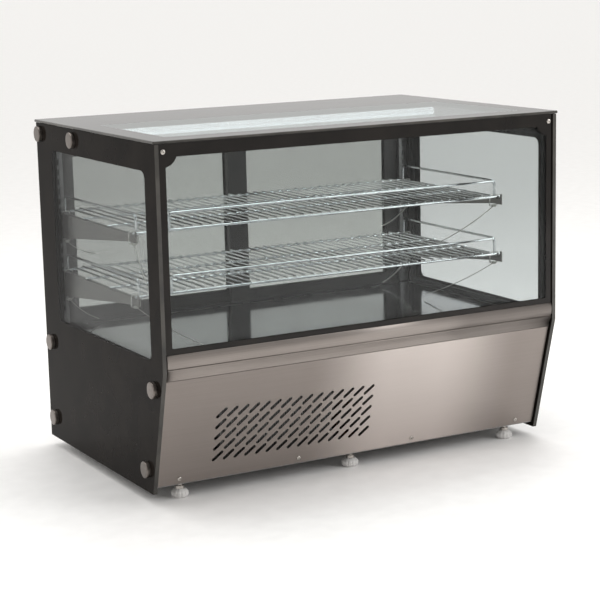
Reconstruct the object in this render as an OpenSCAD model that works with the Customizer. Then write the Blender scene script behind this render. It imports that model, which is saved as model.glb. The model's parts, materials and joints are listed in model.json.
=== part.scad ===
// Countertop refrigerated bakery display case.
// Glass box on a stainless steel base, two wire shelves, two sliding doors at the back.
// Millimetres. +X is to the right seen from the front, the front faces -Y, +Z is up.
// The origin is on the surface it stands on, under the middle of the case.

/* [Case] */
// Width over the two side glasses
case_w = 874; // [760:1:1000]
// Depth of the side glasses, front edge to rear edge
case_d = 576; // [530:1:680]
// Height from the table to the top of the top glass
case_h = 680; // [640:1:760]
// Gap between the table and the lower edge of the side glasses
floor_gap = 20; // [14:1:30]
// Height at which the front of the case starts to slope back
kink_h = 259; // [250:1:266]
// How far the lower front edge stands back from the front glass
toe_setback = 64; // [40:1:90]
// Height of the display floor
deck_h = 260; // [258:1:264]

/* [Glass] */
// Thickness of the printed side glasses
side_t = 8; // [6:0.5:10]
// Thickness of the top glass
top_t = 5; // [4:0.5:8]
// Overhang of the top glass at the sides
top_over_x = 3; // [1:0.5:6]
// Overhang of the top glass at the front and the rear
top_over_y = 2; // [1:0.5:4]
// Thickness of the bead between the side glasses and the top glass
seal_t = 1; // [0.5:0.1:2]
// Thickness of the outer front glass
front_t = 5; // [4:0.5:6]
// Thickness of the inner panes
pane_t = 4; // [3:0.5:5]
// Air gap between the panes of the front glazing
front_gap = 8; // [6:1:10]
// Air gap between the panes of the side glazing
side_gap = 6; // [5:1:8]
// How far the front glass stands behind the front edges of the side glasses
front_recess = 3; // [2.5:0.1:4]
// Radius at the corners of the top glass
top_corner_r = 3; // [1:0.5:8]

/* [Disc caps and front screws] */
// Diameter of the disc caps that clamp the side glasses
disc_d = 32; // [26:1:38]
// Thickness of a disc cap
disc_t = 8; // [5:0.5:8]
// Diameter of the stud behind a disc cap
stud_d = 8; // [6:0.5:8]
// Head diameter of the two screws at the top corners of the front glass
corner_head_d = 10; // [8:0.5:12]
// Head diameter of the screws along the foot of the front panel
panel_head_d = 9; // [6:0.5:10]

/* [Front] */
// Height of the upper, bulging strip of the front trim
nose_h = 27; // [22:1:32]
// Height of the lower strip of the front trim
lip_h = 22; // [18:1:26]
// Sheet thickness of the front trim and the front panel
sheet_t = 1.2; // [1:0.1:1.5]
// Columns of slots in the front panel
slot_cols = 15; // [6:1:18]
// Rows of slots in the front panel
slot_rows = 5; // [3:1:5]
// Distance from slot to slot
slot_pitch = 22.8; // [20:0.2:24]
// Length of a slot over its round ends
slot_l = 28; // [22:0.5:28]
// Width of a slot
slot_w = 6.4; // [4:0.1:7]
// Angle of the slots above the horizontal
slot_angle = 41; // [35:1:50]
// Distance from the middle of the case to the middle of the slot field
slot_field_x = -147; // [-200:1:0]
// Distance from the foot of the front panel to the lowest row of slots, up the slope
slot_field_rise = 46; // [30:1:60]

/* [Shelves] */
// Height of the display floor to the lower shelf, and from shelf to shelf
shelf_step = 120; // [100:20:140]
// Diameter of the wires that run from front to back
wire_d = 3.5; // [3:0.1:4]
// Diameter of the rods and guard rails
rod_d = 5; // [4.5:0.1:6]
// Distance from wire to wire
wire_pitch = 20; // [18:0.5:24]
// Height of the guard rails above the shelf rods
guard_h = 30; // [24:1:36]
// Bend radius of the guard rails
guard_r = 8; // [6:0.5:10]
// Distance from the front glass to the front rod of a shelf
shelf_front = 161; // [140:1:200]
// Thickness of the shelf brackets
bracket_t = 2; // [1.5:0.1:2.5]
// Height of a bracket at the rear
bracket_rear_h = 52; // [48:1:58]

/* [Doors] */
// Thickness of a sliding door
door_t = 13; // [12:0.5:14]
// Width of the door frame members at the sides
stile_w = 45; // [38:1:50]
// Height of the door frame members at the top and the bottom
door_rail_h = 32; // [28:1:40]
// Gap between a door and its groove, on each side
door_gap = 0.5; // [0.4:0.1:0.8]
// How much the two doors overlap in the middle
door_overlap = 46; // [40:1:50]

/* [Feet] */
// Diameter of the foot pads
foot_d = 33; // [28:1:38]
// Diameter of the threaded stem of a foot
stem_d = 10; // [8:1:12]
// Distance from the middle foot to the outer feet
foot_spacing = 372; // [320:1:372]

/* [Refrigeration] */
// Diameter of the compressor pot
compressor_d = 150; // [130:1:156]
// Diameter of the condenser fan
cond_fan_d = 150; // [130:1:156]
// Diameter of the evaporator fan
evap_fan_d = 96; // [80:1:100]
// Distance from fin to fin on the coils
fin_pitch = 5; // [4:0.5:8]

/* [Hidden] */

// Planes of the case
yf = -case_d / 2;                 // front edges of the side glasses
yr = case_d / 2;                  // rear edges of the side glasses
xs = case_w / 2;                  // outer faces of the side glasses
xi = xs - side_t;                 // inner faces of the side glasses
fit = 0.5;                        // gap between pieces that stand beside each other
side_top = case_h - top_t - seal_t;
slope = toe_setback / (kink_h - floor_gap);
slope_angle = atan(slope);

// Front glazing, from the front to the rear
front_y = yf + front_recess;
front_back_y = front_y + front_t;
inner_front_y = front_back_y + front_gap;
glazing_back_y = inner_front_y + pane_t;
front_x = xi - 1;                 // half the width of the front glass
glass_foot_h = deck_h + 8;        // lower edge of the front glass
inner_top = side_top - 33;        // upper edge of the side inner panes
front_inner_top = side_top - 2;   // upper edge of the front inner pane
front_pane_x = xi - 3;            // half the width of the front inner pane
pane_notch_w = 16;                // corner notches of that pane, clear of the screws
pane_notch_h = 22;
pane_foot_h = deck_h + 2;         // lower edge of the side inner panes
spacer_w = 8;

// Side glazing
side_pane_x = xi - side_gap - pane_t;      // inner face of a side inner pane
side_pane_y0 = glazing_back_y + 2;
side_pane_y1 = yr - 58;

// Door tracks at the rear
track_wall = 2;
groove_w = door_t + 2 * door_gap;
track_d = 3 * track_wall + 2 * groove_w;
track_rear = yr - 4;
track_front = track_rear - track_d;
outer_door_y = track_rear - track_wall - groove_w / 2;
inner_door_y = outer_door_y - track_wall - groove_w;
sill_h = deck_h + 2;              // top of the lower track
sill_foot_h = deck_h - 24;        // underside of the lower track
groove_depth = 10;
track_end_x = xi - fit;
upper_track_h = side_top - 52;    // underside of the upper track
upper_groove_depth = 14;
column_w = 13.5;
column_x = track_end_x - column_w;         // inner face of a rear column
door_x = column_x - 1;            // outer edge of a closed door
door_w = door_x + door_overlap / 2;
door_foot_h = sill_h - groove_depth + fit;
door_top_h = upper_track_h + 10;
door_h = door_top_h - door_foot_h;
door_travel = 2 * door_x - door_w - 4;
door_pane_t = 3;
pull_w = 24;
pull_h = 90;
pull_depth = 9;

// Disc caps: distance from the front edge of the side glass, and height
disc_points = [
    [case_d - 19, side_top - 22],
    [case_d - 192, side_top - 22],
    [case_d - 30, kink_h - 35],
    [42, kink_h - 35],
    [case_d - 30, floor_gap + 44],
    [86, floor_gap + 44]
];
stud_hole_d = stud_d + 1;
socket_d = stud_d + 0.4;
stud_reach = 16;                  // stud length behind the side glass

// Front glass screws
corner_screw_x = xs - 17;
corner_screw_z = side_top - 14;
corner_shank_d = 5;
frame_rail_w = 40;                // width of the rails of the top frame

// Front trim and panel
trim_x = xi - 2;
nose_top = glass_foot_h + nose_h - 1.5;
crease_h = nose_top - nose_h;
panel_recess = 6;
panel_top = crease_h - lip_h - 1.9;
panel_foot = floor_gap + 12;
panel_len = (panel_top - panel_foot) / cos(slope_angle);
panel_screw_x = [-383, -129, 129, 383];
panel_screw_rise = 10;

// Base pan
pan_t = 2;
pan_wall = 1.5;
pan_h = 30;                       // underside of the pan
pan_x = xi - fit;
pan_top = sill_foot_h - fit;
pan_y1 = track_rear - 2;
boss_d = 20;

// Insulated floor with the well that holds the evaporator
slab_t = 24;
slab_top = deck_h - 1.5;
slab_foot = slab_top - slab_t;
slab_x = pan_x - pan_wall - fit;
slab_y0 = glazing_back_y + 2;
slab_y1 = track_front - fit;
well_x0 = 70;
well_x1 = 392;
well_y0 = yf + 120;
well_y1 = yr - 110;
well_foot = pan_h + pan_t + 14;
well_wall = 14;
vent_slot_l = 60;
vent_slot_w = 8;
vent_row_y = slab_y1 - 22;
return_row_y = slab_y0 + 14;

// Uprights, brackets and shelves
upright_x = xi - 17;
upright_w = 20;
upright_d = 8;
upright_t = 2;
upright_y = track_front - upright_d;
upright_foot = deck_h + 2;
upright_top = upper_track_h;
hole_pitch = 20;
hole_h = 12;
hole_w = bracket_t + 1.5;
hole_z0 = deck_h + 28;
hole_count = floor((upright_top - hole_z0 - hole_h) / hole_pitch);
rest_drop = wire_d + rod_d;       // top of the wires down to the bracket
lower_rest_h = deck_h + shelf_step - rest_drop;
upper_rest_h = lower_rest_h + shelf_step;
bracket_front_h = 14;
bracket_flange = 10;
bracket_y0 = yf + shelf_front - 11;
shelf_x = upright_x + bracket_t;  // half the length of the shelf rods
guard_x = upright_x - 7;
shelf_y0 = yf + shelf_front;
shelf_y1 = upright_y - 6;
weld_gap = 0.05;
wire_count = floor((2 * guard_x - 30) / wire_pitch) + 1;
front_guard_left = -((wire_count - 1) / 2 - 2.5) * wire_pitch;
front_guard_right = guard_x - 5;

// Lamp under the top glass
lamp_d = 16;
lamp_y = yf + 352;
lamp_x = xi - fit - frame_rail_w - 0.2;
lamp_z = side_top - 12;
holder_l = 14;

// Service panel at the rear, with the controls
service_y = track_rear - sheet_t;
service_foot = pan_h + 4;
service_top = sill_foot_h - 1;
control_x = -300;
control_z = 160;
control_w = 77;
control_h = 35;
button_w = 9;
button_h = 7;
button_travel = 1.2;
button_x = [-20, 0, 20];
switch_x = [-215, -180];
switch_w = 15;
switch_h = 21;
rocker_tilt = 7;
axle_d = 3;
gland_x = 330;
gland_z = 62;
gland_hole_d = 13;

// Refrigeration
machine_floor = pan_h + pan_t;
compressor_x = -150;
compressor_y = yf + 330;
cond_x0 = -300;
cond_x1 = -20;
cond_y0 = yf + 92;
cond_d = 36;
cond_foot = machine_floor;
cond_h = 168;
cond_fan_x = (cond_x0 + cond_x1) / 2;
cond_fan_gap = 4;
cond_fan_y = cond_y0 + cond_d + cond_fan_gap;
cond_fan_z = cond_foot + cond_h / 2;
shaft_d = 5;
end_t = 1.5;                      // end plates of the coils
run_fit = 0.05;
evap_x0 = well_x0 + 34;
evap_x1 = well_x1 - 34;
evap_y0 = well_y0 + 60;
evap_d = 60;
evap_foot = well_foot + well_wall + 2;
evap_h = 110;
evap_fan_x = (well_x0 + well_x1) / 2;
evap_fan_gap = 6;
evap_fan_y = evap_y0 + evap_d + evap_fan_gap;
evap_fan_z = evap_foot + evap_h / 2;
pipe_d = 8;
return_r = 6.5;                   // bend radius of the return bends
pipe_r = 14;                      // bend radius of the pipes
stub_l = 8;                       // tube stubs where the pipes are joined on
pot_stub = compressor_d / 2 + 6;  // reach of the stubs on the compressor
discharge_z = machine_floor + 148;
suction_z = machine_floor + 124;
cond_pipe_y = cond_y0 + cond_d / 2;
cond_in_z = discharge_z;
cond_out_z = cond_foot + 9;
evap_pipe_y = evap_y0 + evap_d / 2;
liquid_z = evap_foot + 29;

foot_h = pan_h;                   // table to the underside of the pan
foot_pad_h = 17;
foot_front_y = yf + 88;
foot_rear_y = yr - 46;
nut_d = 20;
nut_h = 12;

glass_tint = [0.72, 0.80, 0.80, 0.45];
printed = [0.14, 0.12, 0.11];
stainless = [0.66, 0.62, 0.60];
chrome = [0.78, 0.79, 0.80];
galvanised = [0.60, 0.61, 0.62];
black_plastic = [0.16, 0.15, 0.15];
grey_plastic = [0.58, 0.57, 0.57];
copper = [0.72, 0.45, 0.32];

// ---------- shapes used more than once ----------

// Rectangle in the XY plane with round corners
module round_rect(w, d, r) {
    hull()
        for (x = [-w / 2 + r, w / 2 - r], y = [-d / 2 + r, d / 2 - r])
            translate([x, y]) circle(r = r, $fn = 32);
}

// Slot with round ends, lying along X
module round_slot(l, w) {
    square([l - w, w], center = true);
    for (x = [-1, 1])
        translate([x * (l - w) / 2, 0]) circle(d = w, $fn = 24);
}

// A profile drawn as (Y, Z) points, drawn out along X from x0 to x1
module along_x(x0, x1) {
    translate([x0, 0, 0])
        rotate([90, 0, 90])
            linear_extrude(x1 - x0) children();
}

// Bent rod or pipe: straight pieces of the given lengths with right angles between.
// Each step is [length, roll], where roll turns the next bend about the rod.
module bent(steps, d, r, i = 0) {
    cylinder(d = d, h = steps[i][0], $fn = 24);
    if (i < len(steps) - 1)
        translate([0, 0, steps[i][0]])
            rotate([0, 0, steps[i][1]]) {
                translate([r, 0, 0]) rotate([90, 0, 0]) rotate([0, 0, 90])
                    rotate_extrude(angle = 90, $fn = 48) translate([r, 0]) circle(d = d, $fn = 24);
                translate([r, 0, r]) rotate([0, 90, 0]) bent(steps, d, r, i + 1);
            }
}

// Row of cooling fins on a core, seen from above and drawn out upwards
module finned_block(w, d, h) {
    count = floor(w / fin_pitch);
    linear_extrude(h) {
        translate([-w / 2, -d / 4]) square([w, d / 2]);
        for (i = [0 : count - 1])
            translate([(i - (count - 1) / 2) * fin_pitch - 0.5, -d / 2]) square([1, d]);
    }
}

// Fan wheel: hub with tilted blades, turning about Z, bored for its shaft
module fan_wheel(d, blades, depth) {
    hub_d = d * 0.28;
    blade_l = (d - hub_d) / 2 + 3;
    difference() {
        union() {
            cylinder(d = hub_d, h = depth, center = true, $fn = 48);
            intersection() {
                for (i = [0 : blades - 1])
                    rotate([0, 0, i * 360 / blades])
                        translate([hub_d / 2 - 3, 0, 0])
                            rotate([28, 0, 0])
                                translate([0, -d * 0.16, -0.8]) cube([blade_l, d * 0.32, 1.6]);
                cylinder(d = d, h = depth * 1.8, center = true, $fn = 64);
            }
        }
        cylinder(d = shaft_d + 2 * run_fit, h = depth * 2, center = true, $fn = 24);
    }
}

// Fan frame about Z: square plate with a round throat, three arms and a motor with its shaft
module fan_frame(side_w, side_h, d, depth) {
    throat = d + 6;
    motor_d = d * 0.36;
    difference() {
        translate([-side_w / 2, -side_h / 2, 0]) cube([side_w, side_h, 2]);
        translate([0, 0, -1]) cylinder(d = throat, h = 4, $fn = 64);
    }
    difference() {
        cylinder(d = throat + 4, h = depth, $fn = 64);
        translate([0, 0, -1]) cylinder(d = throat, h = depth + 2, $fn = 64);
    }
    for (i = [0 : 2])
        rotate([0, 0, 90 + i * 120])
            translate([motor_d / 2 - 2, -4, depth - 3]) cube([throat / 2 - motor_d / 2 + 3, 8, 3]);
    translate([0, 0, depth - 3]) cylinder(d = motor_d, h = d * 0.3, $fn = 48);
    translate([0, 0, 1]) cylinder(d = shaft_d, h = depth, $fn = 24);
}

// ---------- glass box ----------

module top_glass() {
    color(glass_tint)
        translate([0, 0, case_h - top_t])
            linear_extrude(top_t)
                round_rect(case_w + 2 * top_over_x, case_d + 2 * top_over_y, top_corner_r);
}

module top_seal() {
    color(printed)
        translate([0, 0, side_top])
            linear_extrude(seal_t)
                difference() {
                    square([case_w - 2, case_d - 6], center = true);
                    square([case_w - 24, case_d - 28], center = true);
                }
}

module front_glass() {
    color(glass_tint)
        difference() {
            translate([-front_x, front_y, glass_foot_h])
                cube([2 * front_x, front_t, side_top - glass_foot_h]);
            for (x = [-1, 1])
                translate([x * corner_screw_x, front_y - 1, corner_screw_z])
                    rotate([-90, 0, 0])
                        cylinder(d = corner_shank_d + 1, h = front_t + 2, $fn = 32);
        }
}

// Outline of the front inner pane in the XZ plane, notched at its top corners
module front_pane_outline() {
    x = front_pane_x;
    polygon([
        [-x, glass_foot_h], [x, glass_foot_h],
        [x, front_inner_top - pane_notch_h], [x - pane_notch_w, front_inner_top - pane_notch_h],
        [x - pane_notch_w, front_inner_top], [-x + pane_notch_w, front_inner_top],
        [-x + pane_notch_w, front_inner_top - pane_notch_h], [-x, front_inner_top - pane_notch_h]
    ]);
}

// Stands a drawing in the XZ plane up between y0 and y0 + t
module upright_sheet(y0, t) {
    translate([0, y0 + t, 0]) rotate([90, 0, 0]) linear_extrude(t) children();
}

module front_inner_pane() {
    color(glass_tint) upright_sheet(inner_front_y, pane_t) front_pane_outline();
}

// Rectangular ring standing in the XZ plane, from y0 on
module spacer_ring(w, z0, z1, t) {
    difference() {
        translate([-w / 2, 0, z0]) cube([w, t, z1 - z0]);
        translate([-w / 2 + spacer_w, -1, z0 + spacer_w])
            cube([w - 2 * spacer_w, t + 2, z1 - z0 - 2 * spacer_w]);
    }
}

module glazing_spacers() {
    side_len = side_pane_y1 - side_pane_y0 - 4;
    color(printed) {
        upright_sheet(front_back_y, front_gap)
            difference() {
                offset(delta = -2) front_pane_outline();
                offset(delta = -2 - spacer_w) front_pane_outline();
            }
        for (x = [-xi, xi - side_gap])
            translate([x + side_gap, (side_pane_y0 + side_pane_y1) / 2, 0])
                rotate([0, 0, 90])
                    spacer_ring(side_len, pane_foot_h + 2, inner_top - 2, side_gap);
    }
}

// Left side glass. Its front edge stands upright, then slopes back to the foot.
module side_glass() {
    difference() {
        along_x(-xs, -xi)
            polygon([
                [yf, kink_h], [yf + toe_setback, floor_gap], [yr, floor_gap],
                [yr, side_top], [yf, side_top]
            ]);
        for (p = disc_points)
            translate([-xs - 1, yf + p[0], p[1]])
                rotate([0, 90, 0]) cylinder(d = stud_hole_d, h = side_t + 2, $fn = 32);
    }
}

module left_side_glass() {
    color(printed) side_glass();
}

module right_side_glass() {
    color(printed) mirror([1, 0, 0]) side_glass();
}

module side_pane() {
    translate([-side_pane_x - pane_t, side_pane_y0, pane_foot_h])
        cube([pane_t, side_pane_y1 - side_pane_y0, inner_top - pane_foot_h]);
}

module left_inner_pane() {
    color(glass_tint) side_pane();
}

module right_inner_pane() {
    color(glass_tint) mirror([1, 0, 0]) side_pane();
}

// One disc cap with its stud, axis along -X, seat at the origin
module disc_cap() {
    edge = 2;
    rotate([0, -90, 0])
        rotate_extrude($fn = 48)
            polygon([
                [0, 0], [disc_d / 2, 0], [disc_d / 2, disc_t - edge],
                [disc_d / 2 - edge, disc_t], [0, disc_t]
            ]);
    rotate([0, 90, 0]) cylinder(d = stud_d, h = side_t + stud_reach, $fn = 24);
}

module disc_caps() {
    color(grey_plastic)
        for (side = [0, 1], p = disc_points)
            mirror([side, 0, 0])
                translate([-xs, yf + p[0], p[1]]) disc_cap();
}

module glass_screws() {
    head_h = 2.5;
    color(chrome)
        for (x = [-1, 1])
            translate([x * corner_screw_x, front_y, corner_screw_z])
                difference() {
                    union() {
                        rotate([90, 0, 0])
                            rotate_extrude($fn = 32)
                                polygon([
                                    [0, 0], [corner_head_d / 2, 0], [corner_head_d / 2 - 0.6, 1.4],
                                    [corner_head_d / 2 - 2, head_h], [0, head_h]
                                ]);
                        rotate([-90, 0, 0])
                            cylinder(d = corner_shank_d, h = front_t + front_gap + 10, $fn = 24);
                    }
                    translate([0, -head_h - 1, 0])
                        rotate([-90, 0, 0]) cylinder(d = 3.4, h = 2.4, $fn = 6);
                }
}

// ---------- frame of the glass box ----------

// Ring of folded sheet under the top glass, open downwards
module top_frame() {
    frame_y0 = glazing_back_y + fit;
    frame_y1 = track_front - fit;
    frame_d = frame_y1 - frame_y0;
    mid_y = (frame_y0 + frame_y1) / 2;
    rail_w = frame_rail_w;
    rail_h = 32;
    front_rail_h = 24;
    wall = 2.5;
    x = xi - fit;
    block_w = pane_notch_w - 1;
    block_h = pane_notch_h;
    color(black_plastic)
        difference() {
            union() {
                frame_channel(x, mid_y, frame_d, rail_w, rail_h, wall);
                for (sx = [-1, 1])
                    translate([sx * (x - block_w / 2) - block_w / 2, front_back_y, side_top - block_h])
                        cube([block_w, frame_y0 - front_back_y + wall, block_h]);
            }
            translate([-xs, frame_y0 + wall, side_top - rail_h - 1])
                cube([case_w, rail_w, rail_h - front_rail_h + 1]);
            translate([-xs, frame_y0 - 1, side_top - rail_h - 1])
                cube([case_w, wall + 2, rail_h - front_rail_h + 1]);
            for (sx = [-1, 1]) {
                translate([sx * corner_screw_x, front_back_y - 1, corner_screw_z])
                    rotate([-90, 0, 0])
                        cylinder(d = corner_shank_d + 0.4, h = frame_y0 - front_back_y + 8, $fn = 24);
                translate([sx * xs, yf + disc_points[1][0], disc_points[1][1]])
                    rotate([0, 90, 0]) cylinder(d = socket_d, h = 60, center = true, $fn = 24);
            }
        }
}

// Ring of channel section, open downwards
module frame_channel(x, mid_y, frame_d, rail_w, rail_h, wall) {
    difference() {
        translate([0, mid_y, side_top - rail_h])
            linear_extrude(rail_h)
                difference() {
                    square([2 * x, frame_d], center = true);
                    square([2 * (x - rail_w), frame_d - 2 * rail_w], center = true);
                }
        translate([0, mid_y, side_top - rail_h - 1])
            linear_extrude(rail_h - wall + 1)
                difference() {
                    square([2 * (x - wall), frame_d - 2 * wall], center = true);
                    square([2 * (x - rail_w + wall), frame_d - 2 * (rail_w - wall)], center = true);
                }
    }
}

// Section of a double track, grooves at the top, as (Y, Z) points
module track_section(h, depth) {
    difference() {
        translate([track_front, 0]) square([track_d, h]);
        for (y = [inner_door_y, outer_door_y])
            translate([y - groove_w / 2, h - depth]) square([groove_w, depth + 1]);
    }
}

module lower_track() {
    color(black_plastic)
        along_x(-track_end_x, track_end_x)
            translate([0, sill_foot_h]) track_section(sill_h - sill_foot_h, groove_depth);
}

module upper_track() {
    color(black_plastic)
        difference() {
            along_x(-track_end_x, track_end_x)
                translate([0, side_top]) mirror([0, 1])
                    track_section(side_top - upper_track_h, upper_groove_depth);
            for (sx = [-1, 1])
                translate([sx * track_end_x, yf + disc_points[0][0], disc_points[0][1]])
                    rotate([0, 90, 0]) cylinder(d = socket_d, h = 60, center = true, $fn = 24);
        }
}

module rear_column() {
    wall = 3;
    difference() {
        translate([-track_end_x, track_front, sill_h])
            cube([column_w, track_d, upper_track_h - sill_h]);
        translate([-track_end_x + wall, track_front + wall, sill_h - 1])
            cube([column_w - 2 * wall, track_d - 2 * wall, upper_track_h - sill_h + 2]);
    }
}

module left_rear_column() {
    color(black_plastic) rear_column();
}

module right_rear_column() {
    color(black_plastic) mirror([1, 0, 0]) rear_column();
}

// ---------- front of the base ----------

// Folded trim: a bulging nose in front of the glass foot, a ledge that carries the glazing,
// and a strip that leans back down to the front panel.
module front_trim() {
    steps = 8;
    bulge = 3.2;
    nose_y = front_y - 0.7;
    lip_y = front_y + panel_recess;
    lip_foot = crease_h - lip_h;
    lip_flange = slab_y0 - lip_y - 1;
    // (Y, Z) points of the outer face, from the top down to the crease
    nose = [for (i = [0 : steps])
        [nose_y - bulge * sin(180 * (i + 1) / (steps + 2)), nose_top - nose_h * i / steps]];
    lip = [for (i = [0 : steps])
        [front_y - 2.4 + (lip_y - front_y + 2.4) * i / steps + 1.4 * sin(180 * i / steps),
         crease_h - 0.6 - lip_h * i / steps]];
    color(stainless)
        along_x(-trim_x, trim_x) {
            polygon(concat(nose, [for (i = [steps : -1 : 0]) nose[i] + [sheet_t, 0]]));
            polygon(concat(lip, [for (i = [steps : -1 : 0]) lip[i] + [sheet_t, 0]]));
            translate([front_y - 2.4, crease_h - 0.6])
                square([glazing_back_y - front_y + 2, sheet_t]);
            translate([lip_y, lip_foot - 0.6]) square([lip_flange, sheet_t]);
        }
}

// Moves children from the panel's own plane (X across, Y up the slope, Z outwards) to the front
module on_slope() {
    translate([0, yf + panel_recess + (kink_h - panel_foot) * slope, panel_foot])
        rotate([90 + slope_angle, 0, 0]) children();
}

// Moves children to each slot of the field
module each_slot() {
    field_w = (slot_cols - 1) * slot_pitch;
    for (c = [0 : slot_cols - 1], r = [0 : slot_rows - 1])
        translate([slot_field_x - field_w / 2 + c * slot_pitch, slot_field_rise + r * slot_pitch])
            children();
}

module front_panel() {
    flange = 4;    // turned in under the trim, and clear of it
    color(stainless) {
        on_slope()
            translate([0, 0, -sheet_t])
                linear_extrude(sheet_t)
                    difference() {
                        translate([-trim_x, 0]) square([2 * trim_x, panel_len]);
                        each_slot() rotate(slot_angle) round_slot(slot_l, slot_w);
                        for (x = panel_screw_x)
                            translate([x, panel_screw_rise]) circle(d = 4.5, $fn = 24);
                    }
        on_slope()
            translate([-trim_x, panel_len - sheet_t, -flange]) cube([2 * trim_x, sheet_t, flange]);
    }
}

module panel_screws() {
    color(chrome)
        for (x = panel_screw_x)
            on_slope()
                translate([x, panel_screw_rise, 0]) {
                    difference() {
                        rotate_extrude($fn = 32)
                            polygon([
                                [0, 0], [panel_head_d / 2, 0], [panel_head_d / 2 - 0.4, 1.2],
                                [panel_head_d / 2 - 1.6, 2.2], [0, 2.2]
                            ]);
                        for (a = [0, 90])
                            rotate([0, 0, a]) translate([-1.8, -0.4, 1]) cube([3.6, 0.8, 2]);
                    }
                    translate([0, 0, -7]) cylinder(d = 4, h = 7, $fn = 24);
                }
}

// ---------- base ----------

module base_pan() {
    lip_top = pan_h + 24;
    ledge_w = 14;
    gap = sheet_t + 0.3;
    // Inner face of the front panel as a function of height
    function lip_y(z) = yf + panel_recess + (kink_h - z) * slope + gap / cos(slope_angle);
    front0 = lip_y(pan_h);
    color(galvanised)
        difference() {
            union() {
                translate([-pan_x, front0, pan_h])
                    cube([2 * pan_x, pan_y1 - front0, pan_t]);
                // Sloping front lip that takes the panel screws
                along_x(-pan_x, pan_x)
                    polygon([
                        [front0, pan_h], [lip_y(lip_top), lip_top],
                        [lip_y(lip_top) + pan_wall, lip_top], [front0 + pan_wall, pan_h]
                    ]);
                // Side walls
                for (x = [-pan_x, pan_x - pan_wall])
                    along_x(x, x + pan_wall)
                        polygon([
                            [front0, pan_h], [pan_y1, pan_h], [pan_y1, pan_top],
                            [lip_y(pan_top) + 22, pan_top], [lip_y(pan_h + 40) + 3, pan_h + 40]
                        ]);
                // Ledges that carry the insulated floor
                for (x = [-pan_x, pan_x - ledge_w])
                    translate([x, slab_y0 + 30, slab_foot - pan_wall])
                        cube([ledge_w, slab_y1 - slab_y0 - 60, pan_wall]);
                // Rear lip
                translate([-pan_x, pan_y1 - pan_wall, pan_h]) cube([2 * pan_x, pan_wall, 18]);
                // Welded bosses behind the four lower disc caps of each side
                for (sx = [0, 1], i = [2 : 5])
                    mirror([sx, 0, 0])
                        translate([-pan_x, yf + disc_points[i][0], disc_points[i][1]])
                            rotate([0, 90, 0]) cylinder(d = boss_d, h = 12, $fn = 32);
                // Welded nuts over the feet
                for (x = [-foot_spacing, 0, foot_spacing], y = [foot_front_y, foot_rear_y])
                    translate([x, y, pan_h]) cylinder(d = nut_d, h = nut_h, $fn = 32);
            }
            for (sx = [0, 1], i = [2 : 5])
                mirror([sx, 0, 0])
                    translate([-pan_x - 1, yf + disc_points[i][0], disc_points[i][1]])
                        rotate([0, 90, 0]) cylinder(d = socket_d, h = 20, $fn = 24);
            for (x = [-foot_spacing, 0, foot_spacing], y = [foot_front_y, foot_rear_y])
                translate([x, y, pan_h - 1])
                    cylinder(d = stem_d + 2 * run_fit, h = nut_h + 2, $fn = 32);
            for (x = panel_screw_x)
                on_slope()
                    translate([x, panel_screw_rise, -8]) cylinder(d = 4.3, h = 8, $fn = 24);
        }
}

// Foam slab under the display floor, with a hanging well for the evaporator
module insulated_floor() {
    color([0.80, 0.79, 0.74])
        difference() {
            union() {
                translate([-slab_x, slab_y0, slab_foot])
                    cube([2 * slab_x, slab_y1 - slab_y0, slab_t]);
                translate([well_x0, well_y0, well_foot])
                    cube([well_x1 - well_x0, well_y1 - well_y0, slab_foot - well_foot + 1]);
            }
            translate([well_x0 + well_wall, well_y0 + well_wall, well_foot + well_wall])
                cube([well_x1 - well_x0 - 2 * well_wall, well_y1 - well_y0 - 2 * well_wall, slab_top]);
            // Air ways from the well to the rear row and the front row of deck slots
            translate([-slab_x + 40, vent_row_y - 8, slab_top - 14])
                cube([2 * slab_x - 80, 16, 20]);
            translate([well_x0 + 60, well_y1 - well_wall - 2, slab_top - 14])
                cube([well_x1 - well_x0 - 120, vent_row_y - well_y1 + well_wall + 4, 20]);
            translate([well_x0 + 30, return_row_y - 8, slab_top - 14])
                cube([well_x1 - well_x0 - 60, well_y0 - return_row_y + well_wall + 12, 20]);
            // Drain hole of the well
            translate([evap_fan_x, well_y1 - 40, well_foot - 1])
                cylinder(d = 12, h = well_wall + 3, $fn = 24);
            // Holes for the two pipes to the evaporator
            for (z = [liquid_z, suction_z])
                translate([well_x0 - 1, evap_pipe_y, z])
                    rotate([0, 90, 0]) cylinder(d = pipe_d + 2, h = well_wall + 2, $fn = 24);
        }
}

module floor_deck() {
    deck_t = deck_h - slab_top;
    half = side_pane_x - fit;
    rear_slots = floor((2 * half - 40) / (vent_slot_l + 16));
    front_slots = floor((well_x1 - well_x0 - 40) / (vent_slot_l + 8));
    color(stainless)
        translate([0, 0, slab_top])
            linear_extrude(deck_t)
                difference() {
                    translate([-half, slab_y0]) square([2 * half, slab_y1 - slab_y0]);
                    for (i = [0 : rear_slots - 1])
                        translate([(i - (rear_slots - 1) / 2) * (vent_slot_l + 16), vent_row_y])
                            round_slot(vent_slot_l, vent_slot_w);
                    for (i = [0 : front_slots - 1])
                        translate([
                            (well_x0 + well_x1) / 2 + (i - (front_slots - 1) / 2) * (vent_slot_l + 8),
                            return_row_y
                        ])
                            round_slot(vent_slot_l, vent_slot_w);
                }
}

// ---------- shelf carriers ----------

module upright() {
    translate([-upright_x, upright_y, 0])
        difference() {
            translate([-upright_w / 2, 0, upright_foot])
                cube([upright_w, upright_d, upright_top - upright_foot]);
            translate([-upright_w / 2 + upright_t, upright_t, upright_foot - 1])
                cube([upright_w - 2 * upright_t, upright_d, upright_top - upright_foot + 2]);
            for (i = [0 : hole_count - 1])
                translate([-hole_w / 2, -1, hole_z0 + i * hole_pitch])
                    cube([hole_w, upright_t + 2, hole_h]);
        }
}

module left_upright() {
    color(galvanised) upright();
}

module right_upright() {
    color(galvanised) mirror([1, 0, 0]) upright();
}

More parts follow.
